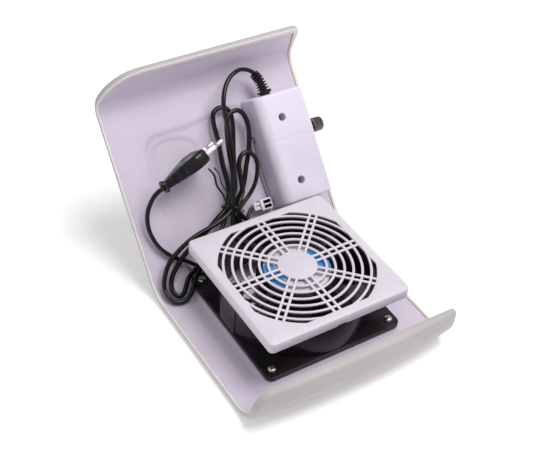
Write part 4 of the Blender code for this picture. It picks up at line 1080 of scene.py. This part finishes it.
def build_grille():
    """Clip-on cover: softened square plate with a skirt, rings, double spokes and a centre disc."""
    soft = 0.9 * MM

    def section(angle):
        full = square_radius(angle, GRILLE_HALF, 4 * MM)
        top = square_radius(angle, GRILLE_HALF - soft, 4 * MM - soft)
        between = square_radius(angle, GRILLE_HALF - 0.29 * soft, 4 * MM - 0.29 * soft)
        inner = square_radius(angle, GRILLE_HALF - 1.0 * MM, 3 * MM)
        across = max(abs(math.cos(angle)), abs(math.sin(angle)))
        hole = min(OPENING, OPENING_FLAT / across)
        front = math.sin(angle) < -0.9 and abs(full * math.cos(angle)) < 4 * MM
        hem = SKIRT_LOW + (1.0 * MM if front else 0.0)
        return ((hole, PLATE_LOW + 0.3 * MM), (hole + 0.3 * MM, PLATE_LOW), (inner, PLATE_LOW),
                (inner, hem + 0.1 * MM), (inner + 0.25 * MM, hem), (full - 0.25 * MM, hem),
                (full, hem + 0.25 * MM), (full, GRILLE_TOP - soft), (between, GRILLE_TOP - 0.29 * soft),
                (top, GRILLE_TOP), (hole + 0.35 * MM, GRILLE_TOP),
                (hole + 0.1 * MM, GRILLE_TOP - 0.1 * MM), (hole, GRILLE_TOP - 0.35 * MM))

    angles = square_angles(GRILLE_HALF, 4 * MM)
    kinks = [math.acos(OPENING_FLAT / OPENING) + turn * math.pi / 2 for turn in range(4)]
    kinks += [math.pi / 2 * turn - math.acos(OPENING_FLAT / OPENING) for turn in range(1, 5)]
    notch = math.atan(4.0 / 61.3)
    kinks += [1.5 * math.pi + side * (notch + lean) for side in (-1, 1) for lean in (-0.002, 0.002)]
    angles = sorted(angles + kinks)
    low, high = PLATE_LOW + 0.2 * MM, GRILLE_TOP - 0.2 * MM
    parts = [square_sweep(angles, section), soft_disc(15.3 * MM, low, high + 0.12 * MM, 0.45 * MM)]
    for index in range(6):
        radius = (22.2 + 6.8 * index) * MM
        parts.append(soft_ring(radius - 1 * MM, radius + 1 * MM, low, high, 0.4 * MM, 160))
    for index in range(8):
        reach = OPENING + 0.8 * MM if index % 2 else OPENING_FLAT + 1.0 * MM
        for side in (-1, 1):
            middle = side * 2.65 * MM
            bar = soft_box((14 * MM, middle - 1 * MM, low + 0.06 * MM),
                           (reach, middle + 1 * MM, high + 0.06 * MM), 0.4 * MM)
            parts.append(turned(bar, Matrix.Rotation(math.tau * index / 8, 4, "Z")))
    make("exhaust_grille", joined(*parts), "grille", "grille", FAN, ("grille_cover",), 50)


# ---------------------------------------------------------------- control box and knob

def box_shell():
    """Outside of the cover: broad soft edge on the left, tighter ones elsewhere."""
    shell = soft_box((BOX_LEFT, BOX_FRONT, 0.3 * MM), (BOX_RIGHT, BOX_REAR, BOX_HEIGHT),
                     top_inset=BOX_DRAFT)
    broad = [e for e in shell.edges if all(v.co.z > 1 * MM and v.co.x < BOX_LEFT + 3 * MM for v in e.verts)]
    bmesh.ops.bevel(shell, geom=broad, offset=8 * MM, segments=12, affect="EDGES", profile=0.5)
    shell.normal_update()
    tight = [e for e in shell.edges if max(v.co.z for v in e.verts) > 1 * MM
             and e.calc_face_angle(0) > math.radians(30)]
    bmesh.ops.bevel(shell, geom=tight, offset=2.4 * MM, segments=6, affect="EDGES", profile=0.5)
    return shell


def screw_well():
    """Counterbore over a box screw with a chamfered mouth, and the screw's clearance hole under it."""
    top = BOX_HEIGHT
    return lathe(((0, -3 * MM), (2.1 * MM, -3 * MM), (2.1 * MM, 8 * MM), (3.2 * MM, 8 * MM),
                  (3.2 * MM, top - 0.4 * MM), (3.8 * MM, top + 0.2 * MM), (3.8 * MM, top + 3 * MM),
                  (0, top + 3 * MM)), 64)


def build_box():
    cover = make("box_cover", box_shell(), "box", place=PANEL,
                 replaces=("control_box_cover",), sharp=28)
    wall = 2 * MM
    cavity = soft_box((BOX_LEFT + wall, BOX_FRONT + wall, -2 * MM),
                      (BOX_RIGHT - wall, BOX_REAR - wall, BOX_HEIGHT - wall),
                      top_inset=BOX_DRAFT + 1.6 * MM)
    carve(cover, [tool(cavity, PANEL)], sharp=28)
    posts = [tool(plain_disc(4.6 * MM, 0.6 * MM, BOX_HEIGHT - 1 * MM), at(PANEL, x, d))
             for x, d in BOX_SCREWS]
    carve(cover, posts, "UNION", 28)
    cuts = [tool(screw_well(), at(PANEL, x, d)) for x, d in BOX_SCREWS]
    cord_hole = at(PANEL, CORD_X, BOX_REAR - 1 * MM, CORD_H) @ Matrix.Rotation(math.radians(90), 4, "X")
    cuts.append(tool(plain_disc(4.7 * MM, -5 * MM, 5 * MM), cord_hole))
    cuts.append(tool(along_x(plain_disc(4.0 * MM, -6 * MM, 6 * MM)),
                     at(PANEL, BOX_RIGHT - 1 * MM, KNOB_D, KNOB_H)))
    cuts.append(tool(soft_box((BOX_LEFT - 3 * MM, 90 * MM, -1 * MM), (BOX_LEFT + 4 * MM, 95 * MM, 4 * MM)),
                     PANEL))
    seam = ((37, 87), (55, 87), (69, 87), (72, 86), (73.2, 83), (73.3, 76), (73.3, 68))
    line = smooth_path([Vector((x, d, 24.1)) * MM for x, d in seam], 4)
    cuts.append(tool(tube(line, lambda index, angle: 0.38 * MM, 8), PANEL))
    carve(cover, cuts, sharp=28)


def wall_x(h):
    return BOX_RIGHT - BOX_DRAFT * h / BOX_HEIGHT


def build_knob():
    """Fluted knob with a polished cap and a pointer line, and the nut behind it."""
    axis = at(PANEL, 0, KNOB_D, KNOB_H)
    nut_from = wall_x(KNOB_H - 5.8 * MM) + 0.3 * MM
    low = nut_from + 3.0 * MM
    radius, shaft = 6.2 * MM, 2.4 * MM + 0.3 * MM

    def flutes(r, angle, z):
        if r < radius - 0.7 * MM or z > KNOB_TIP - 1.4 * MM:
            return r
        return r - 0.22 * MM * (0.5 + 0.5 * math.cos(28 * angle)) ** 3

    profile = [(shaft, low), (radius - 0.5 * MM, low), (radius - 0.1 * MM, low + 0.4 * MM)]
    profile += [(radius - 0.02 * MM * k, low + (0.9 + 0.65 * k) * MM) for k in range(9)]
    cap = KNOB_TIP
    profile += [(radius - 0.25 * MM, cap - 1.5 * MM), (radius - 0.45 * MM, cap - 0.8 * MM),
                (radius - 0.8 * MM, cap - 0.25 * MM), (radius - 1.3 * MM, cap),
                (radius - 1.6 * MM, cap - 0.02 * MM), (radius - 2.0 * MM, cap - 0.3 * MM),
                (0, cap - 0.3 * MM), (0, cap - 2.0 * MM), (shaft, cap - 2.0 * MM)]
    knob = make("fluted_knob", along_x(lathe(profile, 224, flutes)), "knob", "knob", axis,
                ("speed_knob",), 50)
    line = soft_box((cap - 0.9 * MM, -0.4 * MM, 1.2 * MM), (cap + 1 * MM, 0.4 * MM, radius + 1 * MM))
    carve(knob, [tool(line, axis)], sharp=50)
    nut = soft_disc(5.8 * MM, nut_from, nut_from + 1.6 * MM, 0.25 * MM, 6)
    piece = make("hex_nut", along_x(nut), "nickel", place=axis, replaces=("pot_nut",), sharp=25)
    carve(piece, [tool(along_x(plain_disc(4.0 * MM, nut_from - 3 * MM, nut_from + 5 * MM)), axis)],
          sharp=25)


# ---------------------------------------------------------------- cord, plug, tie and wires

def build_cord():
    inside_box = PANEL @ Vector((CORD_X, 117 * MM, CORD_H))
    path = smooth_path(centreline("power_cord", inside_box, 6), 3)

    def section(index, angle):
        """Two cores side by side under one sheath: a little wider one way, with a faint waist."""
        wide, narrow = 2.0 * MM, 1.8 * MM
        radius = wide * narrow / math.hypot(narrow * math.cos(angle), wide * math.sin(angle))
        return radius - 0.10 * MM * abs(math.sin(angle)) ** 10

    make("mains_cord", tube(path, section, 20), "cord", replaces=("power_cord",), sharp=80)


def build_strain_relief():
    """Sleeve with a flange and thin fins, tapering away from the box."""
    begin = PANEL @ Vector((CORD_X, 122 * MM, CORD_H))
    path = smooth_path(centreline("strain_relief", begin, 16), 12)
    back = PANEL.inverted()
    heights = [(back @ p).y - BOX_REAR for p in path]
    travel = [0.0]
    for a, b in zip(path, path[1:]):
        travel.append(travel[-1] + (b - a).length)
    first = next(i for i, h in enumerate(heights) if h > 2.9 * MM)
    fins_from = travel[first]

    def section(index, angle):
        if heights[index] < 0.5 * MM:
            return 4.3 * MM
        if heights[index] < 2.6 * MM:
            square = 1 / max(abs(math.cos(angle)), abs(math.sin(angle)))
            return 5.3 * MM * min(square, 1.16)
        if travel[index] < fins_from:
            return 3.3 * MM
        along = travel[index] - fins_from
        share = along / (travel[-1] - fins_from)
        phase = (along / (2.35 * MM)) % 1.0
        fin = step(phase, 0.30, 0.42) * (1 - step(phase, 0.84, 0.96))
        return (3.0 - 0.25 * share + (2.1 - 0.85 * share) * fin) * MM

    make("cord_sleeve", tube(path, section, 28, 2.4 * MM), "plug", replaces=("strain_relief",),
         sharp=40)


def build_tie():
    begin = PANEL @ Vector((-22 * MM, 83 * MM, 20 * MM))
    path = smooth_path(centreline("twist_tie", begin, 6), 5)

    def section(index, angle):
        """Flat plastic ribbon with a wire core, twisting as it goes."""
        spin = angle + index * 0.07
        return 0.40 * MM + 0.45 * MM * abs(math.cos(spin)) ** 3

    make("tie_ribbon", tube(path, section, 14), "cord", replaces=("twist_tie",), sharp=60)


def eight_sided(half_thick, half_wide, cut, soft=0.35):
    """Rectangle with cut corners, its eight corners eased by soft."""
    corners = []
    for sy, sz, first in ((1, 1, True), (-1, 1, False), (-1, -1, True), (1, -1, False)):
        pair = [(sy * half_thick, sz * (half_wide - cut)), (sy * (half_thick - cut * 0.7), sz * half_wide)]
        corners += pair if first else pair[::-1]
    eased = []
    for i, here in enumerate(corners):
        for other in (corners[i - 1], corners[(i + 1) % 8]):
            gap = math.hypot(other[0] - here[0], other[1] - here[1])
            share = min(0.45, soft / gap)
            eased.append((here[0] + (other[0] - here[0]) * share, here[1] + (other[1] - here[1]) * share))
    return eased


def plug_section(x):
    """(half thickness, half width, cut corner) of the grip at x millimetres from its tail."""
    stations = ((1.9, 3.4, 3.6, 1.4), (6.0, 3.9, 4.5, 1.5), (12.0, 4.6, 6.6, 1.7), (20.0, 5.3, 9.8, 2.0),
                (28.0, 5.9, 12.7, 2.4), (31.0, 6.0, 13.4, 2.5), (36.0, 5.9, 13.0, 2.5),
                (40.3, 5.6, 12.1, 2.4), (PLUG_LENGTH, 5.1, 11.6, 2.2))
    for first, second in zip(stations, stations[1:]):
        if x <= second[0]:
            share = (x - first[0]) / (second[0] - first[0])
            return [a + (b - a) * share for a, b in zip(first[1:], second[1:])]
    return stations[-1][1:]


def build_plug():
    """Flat two-pin plug: collar at the tail, ribbed neck, faceted grip with a sunk field on each side."""
    tail = at(PANEL, -61 * MM, 79.5 * MM, 16 * MM) @ Matrix.Rotation(math.radians(21), 4, "Z")
    bm = bmesh.new()
    rings = []
    for x in [0.0, 0.3, 1.5, 1.8] + [1.9 + 39.1 * k / 150 for k in range(151)]:
        if x < 1.9:
            size = 4.9 if x in (0.0, 1.8) else 5.2
            outline = eight_sided(size, size, 2.6)
        else:
            thick, wide, cut = plug_section(x)
            ribbed = step(x, 3.5, 4.5) * (1 - step(x, 19, 21))
            groove = 0.45 * ribbed * step(math.sin(math.tau * x / 1.9), -0.1, 0.5)
            outline = eight_sided(thick - 0.5 * groove, wide - groove, cut)
            sunk = 0.5 * step(x, 25.6, 26.2) * (1 - step(x, 37.2, 37.8))
            field = wide - cut - 0.2
            outline = [(y - math.copysign(sunk, y) if abs(z) < field and abs(y) > thick - 0.6 else y, z)
                       for y, z in outline]
        rings.append([bm.verts.new((x * MM, y * MM, z * MM)) for y, z in outline])
    bm.faces.new(reversed(rings[0]))
    bm.faces.new(rings[-1])
    for ring, following in zip(rings, rings[1:]):
        band(bm, ring, following)
    body = make("plug_grip", bm, "plug", place=tail, replaces=("plug_body",), sharp=30)
    cuts = [tool(along_x(plain_disc(2.8 * MM, -5 * MM, 8.5 * MM)), tail)]
    for index, side in enumerate((-1, 1)):
        seat = at(tail, PLUG_LENGTH * MM, 0, side * PIN_OUT)
        cuts.append(tool(along_x(plain_disc(2.3 * MM, -8 * MM, 4 * MM)), seat))
        pin = [(0, -7), (1.3, -7), (1.3, 10.3), (1.8, 10.3), (2.0, 10.6), (2.0, 17.2), (1.85, 18.1),
               (1.4, 18.8), (0.8, 19.0), (0, 19.0)]
        make("plug_contact_%d" % (index + 1), along_x(lathe([(r * MM, z * MM) for r, z in pin], 48)),
             "nickel", place=seat, replaces=("plug_pin_%d" % (index + 1),))
        sleeve = soft_ring(1.6 * MM, 2.0 * MM, -6.5 * MM, 10.0 * MM, 0.12 * MM, 48)
        make("plug_sleeve_%d" % (index + 1), along_x(sleeve), "sleeve", place=seat,
             replaces=("pin_sleeve_%d" % (index + 1),))
    carve(body, cuts, sharp=30)


def paint(piece, key, test):
    """Gives a second material to the faces whose middle, in panel axes, passes the test."""
    piece.data.materials.append(MATERIALS[key])
    back = PANEL.inverted()
    for face in piece.data.polygons:
        if test(back @ face.center):
            face.material_index = len(piece.data.materials) - 1


def build_connector():
    """Two-pole connector: a block with two windows up the slope, their insides painted black as shade, and
    the lead's plug in its left side.
    """
    socket = make("wire_socket",
                  soft_box((17.5 * MM, 36 * MM, 1.5 * MM), (28 * MM, 45 * MM, 9 * MM), 0.45 * MM),
                  "connector", place=PANEL, replaces=("connector_socket",))
    windows = [tool(soft_box((20.2 * MM, (37.2 + 3.9 * i) * MM, 3.5 * MM),
                             (27.0 * MM, (40.0 + 3.9 * i) * MM, 12 * MM)),
                    PANEL) for i in range(2)]
    carve(socket, windows)
    # The faces inside the two windows get black plastic: painted shade in the windows.
    paint(socket, "moulded_black", lambda p: 20.1 * MM < p.x < 27.1 * MM and 37.1 * MM < p.y < 44 * MM
          and 3 * MM < p.z < 8.2 * MM)
    shell = make("wire_plug",
                 soft_box((11.6 * MM, 37.6 * MM, 2.0 * MM), (17.2 * MM, 43.6 * MM, 8.0 * MM), 0.4 * MM),
                 "connector", place=PANEL, replaces=("connector_plug",))
    latch = tool(soft_box((13.2 * MM, 39.4 * MM, 6.2 * MM), (18 * MM, 41.8 * MM, 10 * MM)), PANEL)
    carve(shell, [latch])


def build_wiring():
    for name, nodes, begin, count, radius, key, slot in (
            ("feed_wire", "fan_feed_wire", (38, 94, 1.5), 6, 0.8 * MM, "grey_wire", "grey_wire"),
            ("motor_lead", "fan_lead", (11.3, 40.6, 5), 8, 1.4 * MM, "cord", "rubber")):
        path = smooth_path(centreline(nodes, PANEL @ (Vector(begin) * MM), count), 4)

        def section(index, angle, r=radius):
            return r * (1 + 0.03 * math.sin(index * 0.9) * math.cos(angle * 2))

        make(name, tube(path, section, 16), key, replaces=(nodes,), sharp=70)


def dress_cad_nodes():
    """Materials of the CAD solids that are shown as they are."""
    finishes = {
        "control_board": "board", "film_capacitor": "film", "heat_sink": "aluminium",
        "triac": "moulded_black", "choke": "copper", "fuse": "glass", "potentiometer": "aluminium",
        "mains_switch": "moulded_black", "pot_shaft": "shaft", "bearing_lower": "nickel",
        "bearing_upper": "nickel", "stator_core": "laminations", "stator_winding": "copper",
        "rotor_ring": "laminations", "rotor_shaft": "nickel",
    }
    for name, key in finishes.items():
        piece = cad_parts[name]
        piece.data.materials.clear()
        piece.data.materials.append(MATERIALS[key])
        soften(piece, 0.15 * MM)


# ---------------------------------------------------------------- studio

def build_floor():
    made, tree, shader, place = start("studio_floor", Roughness=0.95, Emission_Strength=0.22)
    cloud = noise_value(tree, place, 3.0)
    finish(tree, shader, Base_Color=mixed(tree, cloud, (0.955, 0.955, 0.96, 1), (0.975, 0.975, 0.975, 1)))
    bm = bmesh.new()
    bmesh.ops.create_grid(bm, x_segments=8, y_segments=8, size=6.0)
    mesh = bpy.data.meshes.new("floor")
    bm.to_mesh(mesh)
    bm.free()
    mesh.materials.append(made)
    floor = bpy.data.objects.new("floor", mesh)
    floor.location.z = -0.1 * MM
    bpy.context.scene.collection.objects.link(floor)


def lamp(name, place, target, size, power, colour=(1, 1, 1)):
    data = bpy.data.lights.new(name, "AREA")
    data.shape = "DISK"
    data.size = size
    data.energy = power
    data.color = colour
    made = bpy.data.objects.new(name, data)
    made.location = place
    made.rotation_mode = "QUATERNION"
    made.rotation_quaternion = (Vector(target) - Vector(place)).to_track_quat("-Z", "Y")
    bpy.context.scene.collection.objects.link(made)


def build_studio():
    build_floor()
    world = bpy.data.worlds.new("studio")
    world.use_nodes = True
    backdrop = world.node_tree.nodes["Background"]
    backdrop.inputs["Color"].default_value = (0.97, 0.97, 1.0, 1)
    backdrop.inputs["Strength"].default_value = 0.46
    bpy.context.scene.world = world
    middle = (0, 0, 0.05)
    lamp("key", (0.28, -0.20, 1.20), middle, 0.8, 12.0, (1.0, 0.99, 0.98))
    lamp("left", (-1.1, 0.1, 0.45), middle, 0.35, 0.7)
    bpy.context.scene.view_settings.view_transform = "Standard"


def build_camera():
    """Looks down at the object, rolled a little, through a lens a little long."""
    data = bpy.data.cameras.new("camera")
    data.lens = CAMERA_LENS
    data.sensor_width = 36.0
    camera = bpy.data.objects.new("camera", data)
    camera.rotation_mode = "QUATERNION"
    level = math.cos(CAMERA_ELEVATION)
    back = Vector((math.sin(CAMERA_AZIMUTH) * level, -math.cos(CAMERA_AZIMUTH) * level,
                   math.sin(CAMERA_ELEVATION)))
    aim = (-back).to_track_quat("-Z", "Y")
    camera.rotation_quaternion = aim @ Matrix.Rotation(CAMERA_ROLL, 3, "Z").to_quaternion()
    camera.location = FAN.translation + Vector(CAMERA_PLACE)
    bpy.context.scene.collection.objects.link(camera)
    bpy.context.scene.camera = camera


build_leather()
build_pad()
build_liner()
build_fan()
build_impeller()
build_screws()
build_guard()
build_grille()
build_box()
build_knob()
build_cord()
build_strain_relief()
build_tie()
build_plug()
build_connector()
build_wiring()
dress_cad_nodes()
build_studio()
build_camera()
